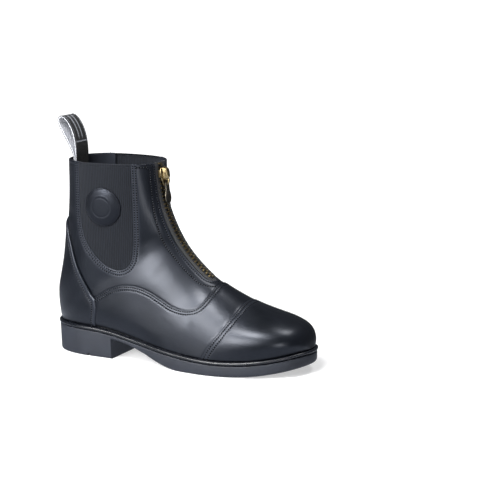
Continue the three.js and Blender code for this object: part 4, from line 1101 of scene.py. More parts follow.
def buildSole():
    s = sole
    shelf = s["weltThickness"] + 2 * s["gap"]
    top = lambda x: featherZ(x) - shelf
    mid = lambda share: (lambda x: groundZ(x) + share * (top(x) - groundZ(x)))
    board = solidOf("soleRubber", [
        level(-s["seatInset"], lambda x: featherZ(x) - s["gap"]),
        level(-s["seatInset"], top),
        level(s["reach"] - 1.1, top),
        level(s["reach"] - 0.45, lambda x: top(x) - 0.14),
        level(s["reach"] - 0.08, lambda x: top(x) - 0.55),
        level(s["reach"], lambda x: top(x) - 1.1),
        level(s["reach"] - 0.1, mid(0.4)),
        level(s["reach"] - 0.35, mid(0.16)),
        level(s["reach"] - 0.9, mid(0.05)),
        level(s["reach"] - 1.6, groundZ),
    ])
    heel = solidOf("heelRubber", [
        level(s["reach"], lambda x: top(x) - 1.1),
        level(s["reach"] - s["taper"] + 0.1, lambda x: s["groundRound"] + 1.0 + 0 * x),
        level(s["reach"] - s["taper"] - 0.15, lambda x: 0.6 * s["groundRound"] + 0 * x),
        level(s["reach"] - s["taper"] - 0.6, lambda x: 0.25 * s["groundRound"] + 0 * x),
        level(s["reach"] - s["taper"] - 1.3, lambda x: 0.06 * s["groundRound"] + 0 * x),
        level(s["reach"] - s["taper"] - 2.2, lambda x: 0 * x),
    ])
    boolean(heel, boxObject("behindBreast", (-100, -100, -10), (s["breastX"], 100, 100)), "INTERSECT")
    boolean(board, heel, "UNION")
    # The notch right across the heel, then the tread's grooves under the heel and the forefoot.
    grooves = [(heelCentre + 0.75 * s["treadPitch"], -100.0, 100.0, s["notchDepth"], 0.0)]
    heelGrooves = [(heelCentre + k * s["treadPitch"], 0.0) for k in (-1.75, -0.75, 1.75)]
    foreXs = []
    x = 0.5 * last["length"]
    while x < last["length"] - s["treadMargin"] - s["treadPitch"]:
        foreXs.append(x)
        x += s["treadPitch"]
    for x, ground in heelGrooves + [(x, float(groundZ(x))) for x in foreXs]:
        outer, inner = halfAt(x, 0) + s["treadMargin"], halfAt(x, 1) - s["treadMargin"]
        grooves.append((x, outer, inner, s["treadDepth"], ground))
    half = s["treadWidth"] / 2
    for x, low, high, depth, ground in grooves:
        tool = boxObject("groove", (x - half, low, ground - depth), (x + half, high, ground + depth))
        boolean(board, tool, "DIFFERENCE")
    mesh = board.data
    mesh.materials.clear()
    mesh.materials.append(soleRubber)
    mesh.shade_smooth()
    mesh.set_sharp_from_angle(angle=math.radians(32))
    return board


def buildLip():
    s = sole
    reach, thick = s["weltReach"], s["weltThickness"]
    rows = [(-s["seatInset"] + s["gap"], 0.0), (0.2, 0.0), (0.6, 0.25), (1.0, 0.75), (1.5, 0.85), (2.0, 0.6)]
    # A groove under the leather, then the round bead.
    for k in range(11):
        a = math.radians(120 - 21 * k)
        rows.append((reach - 1.75 + 1.75 * math.cos(a), 0.5 * thick - 1.55 * math.sin(a)))
    rows += [(reach - 2.2, thick - 0.25), (reach - 3.0, thick), (-s["seatInset"] + s["gap"], thick)]
    loops = [level(out, lambda x, down=down: featherZ(x) - s["gap"] - down) for out, down in rows]
    obj = solidOf("lipBead", loops, lipRubber, joined=True)
    obj.data.shade_smooth()
    obj.data.set_sharp_from_angle(angle=math.radians(50))
    return obj


def buildInsole():
    s = sole
    edge = -panel["wall"] - 3.5 * s["gap"]
    lean = 0.35 * s["insole"]
    # The board's edge rounds over, and its middle is dished a little.
    rows = [(0, 0), (lean, 0.7 * s["insole"]), (1.5 * lean, 0.92 * s["insole"]), (2.2 * lean, s["insole"]),
            (8.0, s["insole"] - 0.3), (16.0, s["insole"] - 0.5)]
    loops = [level(edge - inset, lambda x, up=up: featherZ(x) + up) for inset, up in rows]
    obj = solidOf("insoleLeather", loops, liningLeather)
    obj.data.shade_smooth()
    obj.data.set_sharp_from_angle(angle=math.radians(50))
    return obj


solePiece = buildSole()
lipPiece = buildLip()
insolePiece = buildInsole()
print("sole made", len(solePiece.data.polygons))


# Shapes repeated along rows.
def buildRowTree():
    # Puts a shape, and a second shape under it (for the stitches, a near-black body of painted shade), at
    # even steps along edges that carry an outward direction.
    tree = bpy.data.node_groups.new("shapesAlongRows", "GeometryNodeTree")
    sockets = [("Rows", "NodeSocketGeometry"), ("Pitch", "NodeSocketFloat"), ("Shape", "NodeSocketObject"),
               ("Recess", "NodeSocketObject"), ("Shape Material", "NodeSocketMaterial"),
               ("Recess Material", "NodeSocketMaterial"), ("Turn Every Other", "NodeSocketFloat"),
               ("Size Spread", "NodeSocketFloat"), ("Seed", "NodeSocketInt")]
    for label, kind in sockets:
        tree.interface.new_socket(label, in_out="INPUT", socket_type=kind)
    tree.interface.new_socket("Geometry", in_out="OUTPUT", socket_type="NodeSocketGeometry")
    given = addNode(tree, "NodeGroupInput").outputs
    curve = addNode(tree, "GeometryNodeMeshToCurve", links={"Mesh": given["Rows"]})
    evenly = addNode(tree, "GeometryNodeResampleCurve", settings={"mode": "LENGTH"},
                     links={"Curve": curve.outputs["Curve"], "Length": given["Pitch"]})
    outward = addNode(tree, "GeometryNodeInputNamedAttribute", settings={"data_type": "FLOAT_VECTOR"},
                      values={"Name": "outward"})
    index = addNode(tree, "GeometryNodeInputIndex")
    odd = addNode(tree, "ShaderNodeMath", settings={"operation": "MODULO"}, values={1: 2.0},
                  links={0: index.outputs[0]})
    turned = addNode(tree, "ShaderNodeMath", settings={"operation": "MULTIPLY"},
                     links={0: odd.outputs[0], 1: given["Turn Every Other"]})
    sign = addNode(tree, "ShaderNodeMath", settings={"operation": "MULTIPLY_ADD"}, values={1: -2.0, 2: 1.0},
                   links={0: turned.outputs[0]})
    tangent = addNode(tree, "GeometryNodeInputTangent")
    along = addNode(tree, "ShaderNodeVectorMath", settings={"operation": "SCALE"},
                    links={0: tangent.outputs[0], "Scale": sign.outputs[0]})
    rotation = addNode(tree, "FunctionNodeAxesToRotation",
                       settings={"primary_axis": "Z", "secondary_axis": "X"},
                       links={"Primary Axis": outward.outputs["Attribute"],
                               "Secondary Axis": along.outputs[0]})
    least = addNode(tree, "ShaderNodeMath", settings={"operation": "SUBTRACT"}, values={0: 1.0},
                    links={1: given["Size Spread"]})
    most = addNode(tree, "ShaderNodeMath", settings={"operation": "ADD"}, values={0: 1.0},
                   links={1: given["Size Spread"]})
    spread = addNode(tree, "FunctionNodeRandomValue", settings={"data_type": "FLOAT"},
                     links={2: least.outputs[0], 3: most.outputs[0], "Seed": given["Seed"]})
    parts = []
    for shape, material in (("Shape", "Shape Material"), ("Recess", "Recess Material")):
        source = addNode(tree, "GeometryNodeObjectInfo", links={"Object": given[shape]})
        placed = addNode(tree, "GeometryNodeInstanceOnPoints", links={
            "Points": evenly.outputs["Curve"], "Instance": source.outputs["Geometry"],
            "Rotation": rotation.outputs["Rotation"], "Scale": spread.outputs[1]})
        real = addNode(tree, "GeometryNodeRealizeInstances", links={"Geometry": placed.outputs["Instances"]})
        parts.append(addNode(tree, "GeometryNodeSetMaterial", links={"Geometry": real.outputs["Geometry"],
                                                                     "Material": given[material]}))
    joined = addNode(tree, "GeometryNodeJoinGeometry", links={0: parts[1].outputs["Geometry"]})
    tree.links.new(parts[0].outputs["Geometry"], joined.inputs[0])
    addNode(tree, "NodeGroupOutput", links={0: joined.outputs["Geometry"]})
    return tree


rowTree = buildRowTree()


def growRows(name, rows, inputs):
    # One plain mesh of shapes along rows, each row given as points in millimetres and outward directions.
    points, edges, outward = [], [], []
    for line, directions in rows:
        edges += [(len(points) + k, len(points) + k + 1) for k in range(len(line) - 1)]
        points += list(line)
        outward += list(directions)
    mesh = bpy.data.meshes.new(name)
    mesh.from_pydata(toFrame(points).tolist(), edges, [])
    mesh.attributes.new("outward", "FLOAT_VECTOR", "POINT").data.foreach_set("vector", np.ravel(outward))
    obj = newObject(name, mesh)
    modifier = obj.modifiers.new("rows", "NODES")
    modifier.node_group = rowTree
    for item in rowTree.interface.items_tree:
        if item.name in inputs:
            modifier[item.identifier] = inputs[item.name]
    bpy.context.view_layer.update()
    made = bpy.data.meshes.new_from_object(obj.evaluated_get(bpy.context.evaluated_depsgraph_get()))
    obj.modifiers.remove(modifier)
    obj.data = made
    bpy.data.meshes.remove(mesh)
    made.name = name
    made.shade_smooth()
    return obj


def looseShape(name, points, faces):
    # A small shape in millimetres about the origin, only there to be repeated.
    mesh = bpy.data.meshes.new(name)
    mesh.from_pydata((np.array(points, float) * mm).tolist(), [], faces)
    outwardFaces(mesh)
    mesh.shade_smooth()
    return newObject(name, mesh)


def seedShape(name, half, lift, blunt, ahead=0.0):
    # A grain-shaped body, longest along x, a few dozen faces.
    around, rings = 6, 5
    points = [(-half[0], 0, lift)]
    for i in range(1, rings):
        a = math.pi * i / rings
        x = -half[0] * math.copysign(abs(math.cos(a)) ** blunt, math.cos(a))
        for k in range(around):
            b = 2 * math.pi * k / around
            girth = math.sin(a) ** blunt
            points.append((x, half[1] * girth * math.cos(b), lift + half[2] * girth * math.sin(b)))
    points.append((half[0], 0, lift))
    points = [(x + ahead, y, z) for x, y, z in points]
    tip = len(points) - 1
    faces = []
    for k in range(around):
        n = (k + 1) % around
        faces.append((0, 1 + k, 1 + n))
        faces.append((tip, tip - around + n, tip - around + k))
        for i in range(rings - 2):
            a = 1 + i * around
            faces.append((a + k, a + around + k, a + around + n, a + n))
    return looseShape(name, points, faces)


# A lockstitch seen from above: black thread sunk between two needle holes, 2.35 mm apart, over a near-black
# body that is painted shade for the holes.
stitch = dict(pitch=2.35, threadHalf=(0.78, 0.36, 0.26), threadLift=0.05, holeShadeHalf=(0.78, 1.0, 0.28),
              holeShadeLift=0.03, spread=0.07)


def buildStitches():
    threadShape = seedShape("threadShape", stitch["threadHalf"], stitch["threadLift"], 0.7,
                            stitch["pitch"] / 2)
    # The second body is painted shade: a near-black grain under each stitch that stands for the shadow in its
    # needle holes.
    recessShape = seedShape("recessShape", stitch["holeShadeHalf"], stitch["holeShadeLift"], 0.8)
    made = {}
    for seed, (name, rows) in enumerate(seamLines.items()):
        made[name] = growRows(name.replace("Leather", "") + "Stitches", rows, {
            "Pitch": stitch["pitch"] * mm, "Shape": threadShape, "Shape Material": thread,
            "Recess": recessShape, "Recess Material": paintedHoleShade, "Turn Every Other": 0.0,
            "Size Spread": stitch["spread"], "Seed": 7 + seed})
    for shape in (threadShape, recessShape):
        bpy.data.objects.remove(shape, do_unlink=True)
    return made


stitchPieces = buildStitches()
print("stitches made", {k: len(o.data.polygons) for k, o in stitchPieces.items()})


# Zip.
# Tape and its cord, teeth, slider with its bridge, then the pull tab.
zipper = dict(tapeSink=1.2, tapeThick=0.9, cordAcross=3.5, cordUp=0.55, gap=0.3,
              toothPitch=3.9, toothHalf=0.62, chainTop=1.3,
              sliderLength=18.0, sliderHalf=6.9, sliderPlate=1.6, sliderDrop=5.0, flankInner=3.55,
              bridgeHalf=1.3, bridgeWindow=3.0, bridgeBar=1.4,
              pullLength=21.5, pullHalf=5.5, pullThick=1.6, pullEye=7.0, pullPlay=0.35, pullLean=2.8)
# The domed cover's sections up the zip: place, half width and height over the plate.
coverRows = [(-2.9, 2.7, 2.9), (-2.6, 3.2, 3.8), (-1.9, 3.6, 4.5), (0, 3.7, 4.9), (4, 3.7, 4.8),
             (6.4, 3.6, 4.4), (7.6, 3.4, 3.4), (8.2, 3.1, 1.6), (8.3, 3.0, -0.4)]
sliderRun = zipLength - zipper["sliderDrop"] - zipper["sliderLength"] / 2
plateTop = zipper["chainTop"] + zipper["gap"] + zipper["sliderPlate"]
bridgeLow = -0.5 * zipper["sliderLength"]
pivot = (bridgeLow + zipper["bridgeBar"] + 1.8, plateTop + zipper["bridgeWindow"] / 2)


def onZip(run, across, out):
    point, tangent, normal = ridgeFrame(run)
    across = np.asarray(across)
    return point + np.stack([0 * across, across, 0 * across], -1) + normal * np.asarray(out)[..., None]


def buildTape():
    runs = np.concatenate([zipper["gap"] + slot["halfWidth"] * np.linspace(0.002, 1, 16) ** 2,
                           np.linspace(slot["halfWidth"] + 1.5, zipLength - 0.3, 110)])
    s = np.linspace(-1, 1, 61)
    loops = []
    for run in runs:
        half = max(float(slotHalf(np.array([run]), 0.0)[0]) - 0.05, 0.2)
        across = s * half
        # The sewn cord stands up on both sides, the tapes part in the middle, and a seam runs beside each.
        top = -zipper["tapeSink"] + ditch(np.abs(across), zipper["cordAcross"], 0.55, zipper["cordUp"])
        top = top - ditch(across, 0.0, 0.35, 0.35) - ditch(np.abs(across), 6.4, 0.3, 0.1)
        bottom = np.full(len(s), -zipper["tapeSink"] - zipper["tapeThick"])
        around = np.concatenate([across, across[::-1]])
        loops.append(onZip(np.full(2 * len(s), run), around, np.concatenate([top, bottom])))
    obj = makeObject("zipTape", *closedLoft(loops), zipCloth, sharpAngle=50)
    outwardFaces(obj.data)
    return obj


def toothShape():
    # Stamped tooth, clamped on the tape's cord: x along the zip, y in towards its middle, z out.
    outline = [(-4.3, -0.9), (-4.4, 0.1), (-3.9, 0.5), (-2.4, 0.95), (-0.6, 1.2), (0.25, 1.12),
               (0.6, 0.7), (0.6, -0.1), (0.2, -0.75)]
    middle = np.mean(outline, axis=0)
    loops = []
    for x, size in ((-1.0, 0.78), (-0.8, 1.0), (0.8, 1.0), (1.0, 0.78)):
        half = [zipper["toothHalf"] * (1.0 if y < -1.2 else 0.82) for y, z in outline]
        drawn = middle + (np.array(outline) - middle) * size
        loops.append(np.column_stack([x * np.array(half), drawn]))
    obj = looseShape("toothShape", *closedLoft(loops))
    obj.data.set_sharp_from_angle(angle=math.radians(38))
    return obj


def buildTeeth():
    runs = np.arange(0.55 * slot["halfWidth"], zipLength - 1.2, 0.5)
    line = onZip(runs, np.zeros(len(runs)), np.zeros(len(runs)))
    shape = toothShape()
    obj = growRows("zipTeeth", [(line, ridgeFrame(runs)[2])], {
        "Pitch": zipper["toothPitch"] / 2 * mm, "Shape": shape, "Shape Material": toothBrass,
        "Turn Every Other": 1.0, "Size Spread": 0.0, "Seed": 3})
    obj.data.set_sharp_from_angle(angle=math.radians(38))
    bpy.data.objects.remove(shape, do_unlink=True)
    return obj


def insetLine(outline, by):
    p = np.asarray(outline, float)
    before, after = np.roll(p, 1, axis=0), np.roll(p, -1, axis=0)
    a = (p - before) / np.maximum(np.linalg.norm(p - before, axis=1, keepdims=True), 1e-9)
    b = (after - p) / np.maximum(np.linalg.norm(after - p, axis=1, keepdims=True), 1e-9)
    na, nb = np.stack([-a[:, 1], a[:, 0]], 1), np.stack([-b[:, 1], b[:, 0]], 1)
    turn = 1 + np.sum(na * nb, axis=1, keepdims=True)
    area = 0.5 * np.sum(p[:, 0] * after[:, 1] - after[:, 0] * p[:, 1])
    return p + np.sign(area) * by * (na + nb) / np.maximum(turn, 0.5)


def insetRings(outline, rings):
    # The flat outline at each inset and height.
    return [np.column_stack([insetLine(outline, inset), np.full(len(outline), z)]) for inset, z in rings]


def roundedPrism(outline, low, high, bevel, soften=2):
    # Closed slab over a flat outline, its upper and lower edges rounded.
    rings = []
    for k in range(soften + 1):
        a = math.pi / 2 * k / soften
        rings.append((bevel * (1 - math.sin(a)), low + bevel * (1 - math.cos(a))))
    rings += [(inset, high + low - z) for inset, z in reversed(rings)]
    return closedLoft(insetRings(outline, rings))


def seated(points, along, out, lean):
    # From the flat drawing, x across, y up the zip, z out, to its place on the slider.
    point, tangent, normal = (v[0] for v in ridgeFrame(sliderRun))
    p = np.array(points, float)
    c, s = math.cos(math.radians(lean)), math.sin(math.radians(lean))
    y, z = p[:, 1] * c - p[:, 2] * s + along, p[:, 1] * s + p[:, 2] * c + out
    return point + np.outer(p[:, 0], (0, 1, 0)) + np.outer(y, tangent) + np.outer(z, normal)


def joinShapes(name, shapes, material, along, out, lean, sharpAngle=40):
    obj = None
    for points, faces in shapes:
        part = makeObject(name, seated(points, along, out, lean), faces, material, sharpAngle=None)
        outwardFaces(part.data)
        if obj is None:
            obj = part
        else:
            boolean(obj, part, "UNION")
    obj.data.shade_smooth()
    obj.data.set_sharp_from_angle(angle=math.radians(sharpAngle))
    return obj


def bend(a, b, c, count=7):
    w = np.linspace(0, 1, count)[:, None]
    return ((1 - w) ** 2 * np.array(a) + 2 * w * (1 - w) * np.array(b) + w**2 * np.array(c))[:-1].tolist()


def buildSlider():
    half, top = zipper["sliderHalf"], zipper["sliderLength"] / 2
    right = bend((0.45 * half, -top), (0.95 * half, -0.35 * top), (half, 0.35 * top))
    right += bend((half, 0.35 * top), (half, 0.9 * top), (0.5 * half, top))
    right += bend((0.5 * half, top), (0.25 * half, 1.0 * top), (0.0, 0.9 * top), 4)
    outline = right + [(0.0, 0.9 * top)] + [(-x, y) for x, y in reversed(right)]
    low = zipper["chainTop"] + zipper["gap"]
    shapes = [roundedPrism(outline, low, plateTop, 0.55, 3)]
    for side in (-1, 1):
        inner = side * zipper["flankInner"]
        box = [(inner, -0.1 * top), (side * 0.88 * half, -0.1 * top), (side * 0.9 * half, 0.7 * top),
               (inner, 0.74 * top)]
        shapes.append(roundedPrism(box, -0.5 * zipper["tapeSink"], low + 0.8, 0.3))
    # The bridge that the pull's eye runs round, drawn from the side, then turned upright.
    window, bar = zipper["bridgeWindow"], zipper["bridgeBar"]
    side = [(bridgeLow + 0.25, -0.6), (bridgeLow + 0.25, 0.7 * window),
            (0.78 * bridgeLow, 0.97 * window + 0.5 * bar), (0.6 * bridgeLow, window + bar),
            (0.3 * bridgeLow, window + bar), (0.3 * bridgeLow, -0.6), (0.42 * bridgeLow, -0.6),
            (0.42 * bridgeLow, window), (0.6 * bridgeLow, window),
            (bridgeLow + bar + 0.2, 0.72 * window), (bridgeLow + bar + 0.2, -0.6)]
    points, faces = roundedPrism(side, -zipper["bridgeHalf"], zipper["bridgeHalf"], 0.3)
    shapes.append((np.stack([points[:, 2], points[:, 0], points[:, 1] + plateTop], 1), faces))
    across = np.linspace(-1, 1, 15)
    loops = []
    for y, w, h in coverRows:
        arch = h * np.maximum(1 - np.abs(across) ** 4.5, 0) ** 0.5
        upper = [(a * w, y, plateTop - 0.4 + max(v, 0) + 0.4 * (h > 0)) for a, v in zip(across, arch)]
        loops.append(np.array([(-w, y, plateTop - 0.5)] + upper + [(w, y, plateTop - 0.5)]))
    shapes.append(closedLoft(loops))
    return joinShapes("zipSlider", shapes, antiqueBrass, 0, 0, 0)


def buildPull():
    eyeHalf, bar, eye = zipper["bridgeHalf"] + zipper["pullPlay"], zipper["pullThick"], zipper["pullEye"]
    neck, tip, half, thick = eyeHalf + bar, -zipper["pullLength"], zipper["pullHalf"], zipper["pullThick"] / 2
    right = bend((neck, -0.75 * eye), (neck, 0.38 * tip), (0.9 * half, 0.55 * tip))
    right += bend((0.9 * half, 0.55 * tip), (1.25 * half, 0.8 * tip), (0.6 * half, 0.95 * tip), 9)
    right += bend((0.6 * half, 0.95 * tip), (0.3 * half, 1.0 * tip), (0, 1.0 * tip), 5)
    # The blade, with a raised rim round a sunk face on both sides.
    outline = [(-x, y) for x, y in right] + [(0, tip)] + list(reversed(right))
    rings = [(1.7, -0.35), (1.25, -0.42), (0.95, -thick + 0.05), (0.4, -thick), (0.1, -thick + 0.25),
             (0.0, -0.3)]
    rings += [(inset, -z) for inset, z in reversed(rings)]
    shapes = [closedLoft(insetRings(outline, rings))]
    # The eye round the slider's bridge.
    for x0, x1, y0, y1 in ((-neck, -eyeHalf, -eye - 1.0, bar / 2), (eyeHalf, neck, -eye - 1.0, bar / 2),
                           (-neck, neck, -bar / 2, bar / 2), (-neck, neck, -eye - 2.2, -eye)):
        shapes.append(roundedPrism([(x0, y0), (x1, y0), (x1, y1), (x0, y1)], -thick, thick, 0.35))
    return joinShapes("zipPull", shapes, gunmetal, pivot[0], pivot[1], zipper["pullLean"])


tapePiece = buildTape()
teethPiece = buildTeeth()
sliderPiece = buildSlider()
pullPiece = buildPull()
print("zip made", len(teethPiece.data.polygons), len(sliderPiece.data.polygons), len(pullPiece.data.polygons))


# Badge and loop.
badge = dict(radius=18.5, seat=0.4, thick=1.0, dome=2.9, ring=0.6, ringRise=0.16, ringSink=0.14, around=96)


def buildBadge():
    centre = onShaft([badgeCentre])[0]
    surface = BVHTree.FromPolygons(basePoints.tolist(), baseFaces.tolist())
    # Height over the radius: the flat rim, its rolled bead, then the cushioned dome with a plain ring in it.
    r = np.concatenate([[1.0, 1.0, 0.995, 0.98, 0.96], np.linspace(0.95, 0.8, 12),
                        np.linspace(0.78, 0.0, 44)])
    dome = badge["dome"] * np.clip(1 - (r / 0.95) ** 3.2, 0, 1) ** 0.7
    up = badge["thick"] + dome
    up += ditch(r, badge["ring"], 0.05, badge["ringRise"])
    up -= ditch(r, badge["ring"] - 0.1, 0.04, badge["ringSink"])
    up[:3] = (-0.3, 0.5, 0.8)
    loops = []
    for rr, height in zip(r, up):
        circle = []
        for k in range(badge["around"]):
            a = 2 * math.pi * k / badge["around"]
            x = centre[0] + rr * badge["radius"] * math.cos(a)
            z = centre[1] + rr * badge["radius"] * math.sin(a)
            hit = surface.ray_cast(Vector((x, -300, z)), Vector((0, 1, 0)))[0]
            circle.append((x, hit.y + panel["goreSink"] - badge["seat"] - height, z))
        loops.append(np.array(circle))
    points, faces = loft(loops[:-1])
    n = badge["around"]
    centreIndex = len(points)
    points = np.vstack([points, loops[-1][:1]])
    start = (len(loops) - 2) * n
    faces += [(start + k, start + (k + 1) % n, centreIndex) for k in range(n)] + [tuple(range(n))]
    obj = makeObject("badgeLeather", points, faces, badgeLeather, sharpAngle=60)
    outwardFaces(obj.data)
    return obj


loop = dict(rise=40.0, width=22.0, thick=1.6, borderIn=1.3, borderWidth=0.6, stripeGap=6.0, crossAt=33.0)


def loopMaterial():
    # Narrow jacquard-woven polyester tape: black face with pale edge threads, silver-grey back.
    material, tree, shader, where = newMaterial("jacquardTape", {"Roughness": 0.8, "Sheen Weight": 0.08,
                                                                 "Specular IOR Level": 0.25})
    own = addNode(tree, "ShaderNodeUVMap", settings={"uv_map": "tape"})
    split = addNode(tree, "ShaderNodeSeparateXYZ", links={0: own.outputs["UV"]})
    across = addNode(tree, "ShaderNodeMath", settings={"operation": "ABSOLUTE"},
                     links={0: split.outputs["X"]})

    def band(source, middle, half):
        # 1 within half of the middle, with soft edges, all in metres.
        away = addNode(tree, "ShaderNodeMath", settings={"operation": "SUBTRACT"}, values={1: middle},
                       links={0: source})
        offMiddle = addNode(tree, "ShaderNodeMath", settings={"operation": "ABSOLUTE"},
                            links={0: away.outputs[0]})
        return addNode(tree, "ShaderNodeMapRange", values={"From Min": half * 1.15, "From Max": half * 0.85},
                       links={"Value": offMiddle.outputs[0]}).outputs["Result"]

    def combine(operation, a, b):
        # Two bands or weaves worked into one.
        return addNode(tree, "ShaderNodeMath", settings={"operation": operation},
                       links={0: a, 1: b}).outputs[0]

    halfWidth = loop["width"] / 2
    border = band(across.outputs[0], (halfWidth - loop["borderIn"]) * mm, loop["borderWidth"] / 2 * mm)
    cross = combine("MULTIPLY", band(split.outputs["Y"], loop["crossAt"] * mm, 0.0006),
                    band(across.outputs[0], 0.0, (halfWidth - loop["borderIn"]) * mm))
    stripes = combine("MULTIPLY", band(across.outputs[0], loop["stripeGap"] / 2 * mm, 0.0008),
                      band(split.outputs["Y"], (loop["crossAt"] + 16.0) * mm, 0.0125))
    aboveCross = band(split.outputs["Y"], (loop["crossAt"] + 60.0) * mm, 0.06)
    lines = combine("MAXIMUM", combine("MULTIPLY", border, aboveCross), cross)
    pale = combine("MAXIMUM", lines, stripes)
    # Ribs of the weft, 0.8 mm apart across the tape.
    ribs = addNode(tree, "ShaderNodeTexWave", settings={"wave_type": "BANDS", "bands_direction": "Y"},
                   values={"Scale": waveUnit / 0.0008, "Distortion": 0.3, "Detail": 1.0},
                   links={"Vector": own.outputs["UV"]})
    twill = addNode(tree, "ShaderNodeTexWave", settings={"wave_type": "BANDS", "bands_direction": "DIAGONAL"},
                    values={"Scale": waveUnit / 0.0014, "Distortion": 0.2},
                    links={"Vector": own.outputs["UV"]})
    weave = combine("MULTIPLY", ribs.outputs["Fac"], twill.outputs["Fac"])
    # Black ground, pale lines of the face and silver of the back, each from its hollows to its crests.
    black, grey, silver = [
        addNode(tree, "ShaderNodeValToRGB", links={"Fac": weave},
                stops=[(0.05, low), (0.9, high)]).outputs["Color"]
        for low, high in (("#050608", "#0d0e12"), ("#70737b", "#a4a7ae"), ("#a8aab0", "#d4d5d9"))]
    face = addNode(tree, "ShaderNodeMix", settings={"data_type": "RGBA"},
                   links={"Factor": pale, 6: black, 7: grey})
    back = addNode(tree, "ShaderNodeAttribute", settings={"attribute_name": "tapeBack"})
    both = addNode(tree, "ShaderNodeMix", settings={"data_type": "RGBA"},
                   links={"Factor": back.outputs["Fac"], 6: face.outputs[2], 7: silver})
    tree.links.new(both.outputs[2], shader.inputs["Base Color"])
    bump = addNode(tree, "ShaderNodeBump", values={"Strength": 0.6, "Distance": 0.00025},
                   links={"Height": weave})
    tree.links.new(bump.outputs["Normal"], shader.inputs["Normal"])
    return material


def buildLoop():
    baseX = sectionRows["backX"][-1] * last["length"] + panel["wall"]
    baseZ = last["heelSeat"] + last["shaft"]
    line = smoothCurve([(baseX + out * loop["rise"], baseZ + up * loop["rise"]) for out, up in loopRows], 14)
    run = runAlong(line)
    along = np.gradient(line, axis=0)
    along /= np.linalg.norm(along, axis=1, keepdims=True)
    side = np.stack([-along[:, 1], along[:, 0]], 1)
    half, thick = loop["width"] / 2, loop["thick"] / 2
    # Section of the tape: flat faces, thicker woven edges, rounded ends.
    across = np.concatenate([[-1.0], np.linspace(-0.985, 0.985, 21), [1.0]])
    thicker = 0.8 + 0.2 * np.clip((np.abs(across) - 0.85) / 0.08, 0, 1)
    edge = thick * np.where(np.abs(across) > 0.99, 0.35, thicker)
    upper = np.column_stack([across * half, edge])
    ring = np.concatenate([upper, upper[::-1] * (1, -1)])
    loops = []
    for p, n in zip(line, side):
        loops.append(np.column_stack([p[0] + n[0] * ring[:, 1], ring[:, 0], p[1] + n[1] * ring[:, 1]]))
    obj = makeObject("pullLoopTape", *closedLoft(loops), None, sharpAngle=60)
    uv = obj.data.uv_layers.new(name="tape")
    back = obj.data.attributes.new("tapeBack", "FLOAT", "POINT")
    isBack = np.tile((ring[:, 1] > 0).astype(float), len(loops))
    back.data.foreach_set("value", isBack)
    v = np.array([l.vertex_index for l in obj.data.loops])
    coordinates = np.column_stack([np.tile(ring[:, 0], len(loops)), np.repeat(run, len(ring))]) * mm
    uv.data.foreach_set("uv", coordinates[v].ravel())
    outwardFaces(obj.data)
    obj.data.materials.append(loopMaterial())
    return obj


badgePiece = buildBadge()
loopPiece = buildLoop()
print("badge and loop made")


# What rides and what is replaced.
# One row for each piece: the node that it stands for and its slot. Only the pull tab moves.
riders = [
    (solePiece, "outsole", "sole_rubber"), (lipPiece, "welt", "welt_rubber"),
    (insolePiece, "insole", "insole_leather"), (quarterPiece, "upper", "black_leather"),
    (liningPiece, None, "black_leather"), (vampPiece, "vamp", "black_leather"),
    (capPiece, "toe_cap", "black_leather"), (counterPiece, "counter", "black_leather"),
    (goreOuterPiece, "gore_outer", "gore_elastic"), (goreInnerPiece, "gore_inner", "gore_elastic"),
    (badgePiece, "badge", "black_leather"), (tapePiece, "zip_tape", "zip_cloth"),
    (teethPiece, "zip_teeth", "antique_brass"), (sliderPiece, "zip_slider", "antique_brass"),
    (pullPiece, "zip_pull", "dark_metal"), (loopPiece, "pull_loop", "webbing")]
riders += [(piece, None, "black_leather") for piece in stitchPieces.values()]
for piece, node, slotName in riders:
    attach(piece, "zip_pull" if piece is pullPiece else "boot")
    if node:
        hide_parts(node)


# Floor, light and camera.
def directionAt(azimuth, height):
    # Away from the boot, the azimuth counted from its outer side towards the toe, both in degrees.
    az, el = math.radians(azimuth), math.radians(height)
    return Vector((math.sin(az) * math.cos(el), -math.cos(az) * math.cos(el), math.sin(el)))


# The sweep's half size and, in metres from the origin, where its glow starts to rise and is full.
sweep = dict(half=40.0, glowFrom=0.28, glowFull=0.9, glowNear=0.5, glowFar=1.2)


def buildFloor():
    mesh = bpy.data.meshes.new("floor")
    half = sweep["half"]
    corners = [(-half, -half, 0), (half, -half, 0), (half, half, 0), (-half, half, 0)]
    mesh.from_pydata(corners, [], [(0, 1, 2, 3)])
    floor = newObject("floor", mesh)
    # White sweep that glows by itself, painted light with no lamp behind it, a little less round the boot.
    # The leather mirrors the room instead of it.
    material, tree, shader, where = newMaterial("glowingPaleFloor", {
        "Roughness": 0.7, "Base Color": linear("#c4c4c4"), "Specular IOR Level": 0.2,
        "Emission Color": linear("#ffffff")})
    away = addNode(tree, "ShaderNodeVectorMath", settings={"operation": "LENGTH"}, links={0: where})
    glow = addNode(tree, "ShaderNodeMapRange", settings={"interpolation_type": "SMOOTHSTEP"},
                   values={"From Min": sweep["glowFrom"], "From Max": sweep["glowFull"],
                           "To Min": sweep["glowNear"], "To Max": sweep["glowFar"]},
                   links={"Value": away.outputs["Value"]})
    tree.links.new(glow.outputs["Result"], shader.inputs["Emission Strength"])
    mesh.materials.append(material)
    floor.visible_glossy = False


def areaLight(name, spot, aim, size, power, grid):
    data = bpy.data.lights.new(name, "AREA")
    data.shape = "RECTANGLE"
    data.size, data.size_y = size
    data.energy = power
    # A honeycomb grid on the softbox, so that its edges fade.
    data.spread = math.radians(grid)
    light = newObject(name, data)
    light.location = spot
    light.rotation_euler = (aim - spot).to_track_quat("-Z", "Y").to_euler()


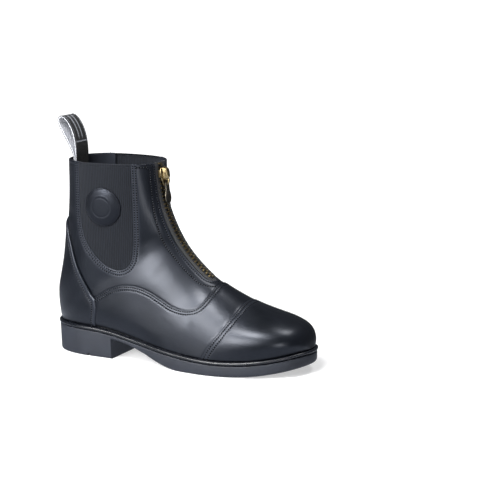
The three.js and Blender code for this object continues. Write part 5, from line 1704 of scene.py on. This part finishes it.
def setWorld(color, above, below):
    # A dim room, with a bright table under it.
    world = bpy.data.worlds.new("studio")
    world.use_nodes = True
    tree = world.node_tree
    direction = addNode(tree, "ShaderNodeTexCoord")
    split = addNode(tree, "ShaderNodeSeparateXYZ", links={0: direction.outputs["Generated"]})
    level = addNode(tree, "ShaderNodeMapRange", settings={"interpolation_type": "SMOOTHSTEP"},
                    values={"From Min": -0.33, "From Max": -0.15, "To Min": below, "To Max": above},
                    links={"Value": split.outputs["Z"]})
    background = tree.nodes["Background"]
    background.inputs["Color"].default_value = linear(color)
    tree.links.new(level.outputs["Result"], background.inputs["Strength"])
    bpy.context.scene.world = world


bpy.context.scene.view_settings.view_transform = "Standard"
buildFloor()
setWorld("#e6edfc", 0.1, 1.0)
softboxes = dict(
    key=dict(azimuth=-12, height=25, away=1.7, size=(1.0, 0.75), power=5.9, grid=60),
    upper=dict(azimuth=-36, height=42, away=1.6, size=(0.5, 0.5), power=2.3, grid=70),
    overhead=dict(azimuth=-2, height=58, away=1.6, size=(0.6, 0.5), power=4.8, grid=70),
    behind=dict(azimuth=118, height=64, away=1.6, size=(0.5, 0.4), power=1.6, grid=70),
    low=dict(azimuth=-18, height=0, away=1.5, size=(1.1, 0.4), power=0.75, grid=80),
    rightPanel=dict(azimuth=48, height=-1, away=1.5, size=(0.3, 0.5), power=1.0, grid=90))
bootMiddle = Vector((0.09, 0, 0.1))
for name, box in softboxes.items():
    spot = bootMiddle + directionAt(box["azimuth"], box["height"]) * box["away"]
    areaLight(name + "Softbox", spot, bootMiddle, box["size"], box["power"], box["grid"])

# The camera's angle, distance and lens were fitted to the outline of the boot in the photograph.
view = dict(azimuth=25.6, height=11.4, distance=1.53, focal=1590.0, frame=500.0, target=(0.105, 0.0, 0.09),
            pixel=(190.7, 268.6))


def buildCamera():
    az = math.radians(view["azimuth"])
    back = directionAt(view["azimuth"], view["height"])
    right = Vector((math.cos(az), math.sin(az), 0))
    up = back.cross(right)
    dx = (view["pixel"][0] - view["frame"] / 2) / view["focal"] * view["distance"]
    dy = -(view["pixel"][1] - view["frame"] / 2) / view["focal"] * view["distance"]
    data = bpy.data.cameras.new("camera")
    data.sensor_width = 36.0
    data.lens = 36.0 * view["focal"] / view["frame"]
    data.clip_end = 50.0
    camera = newObject("camera", data)
    spot = Vector(view["target"]) - dx * right - dy * up + back * view["distance"]
    camera.matrix_world = Matrix.Translation(spot) @ Matrix((right, up, back)).transposed().to_4x4()
    bpy.context.scene.camera = camera


buildCamera()
bpy.context.view_layer.update()
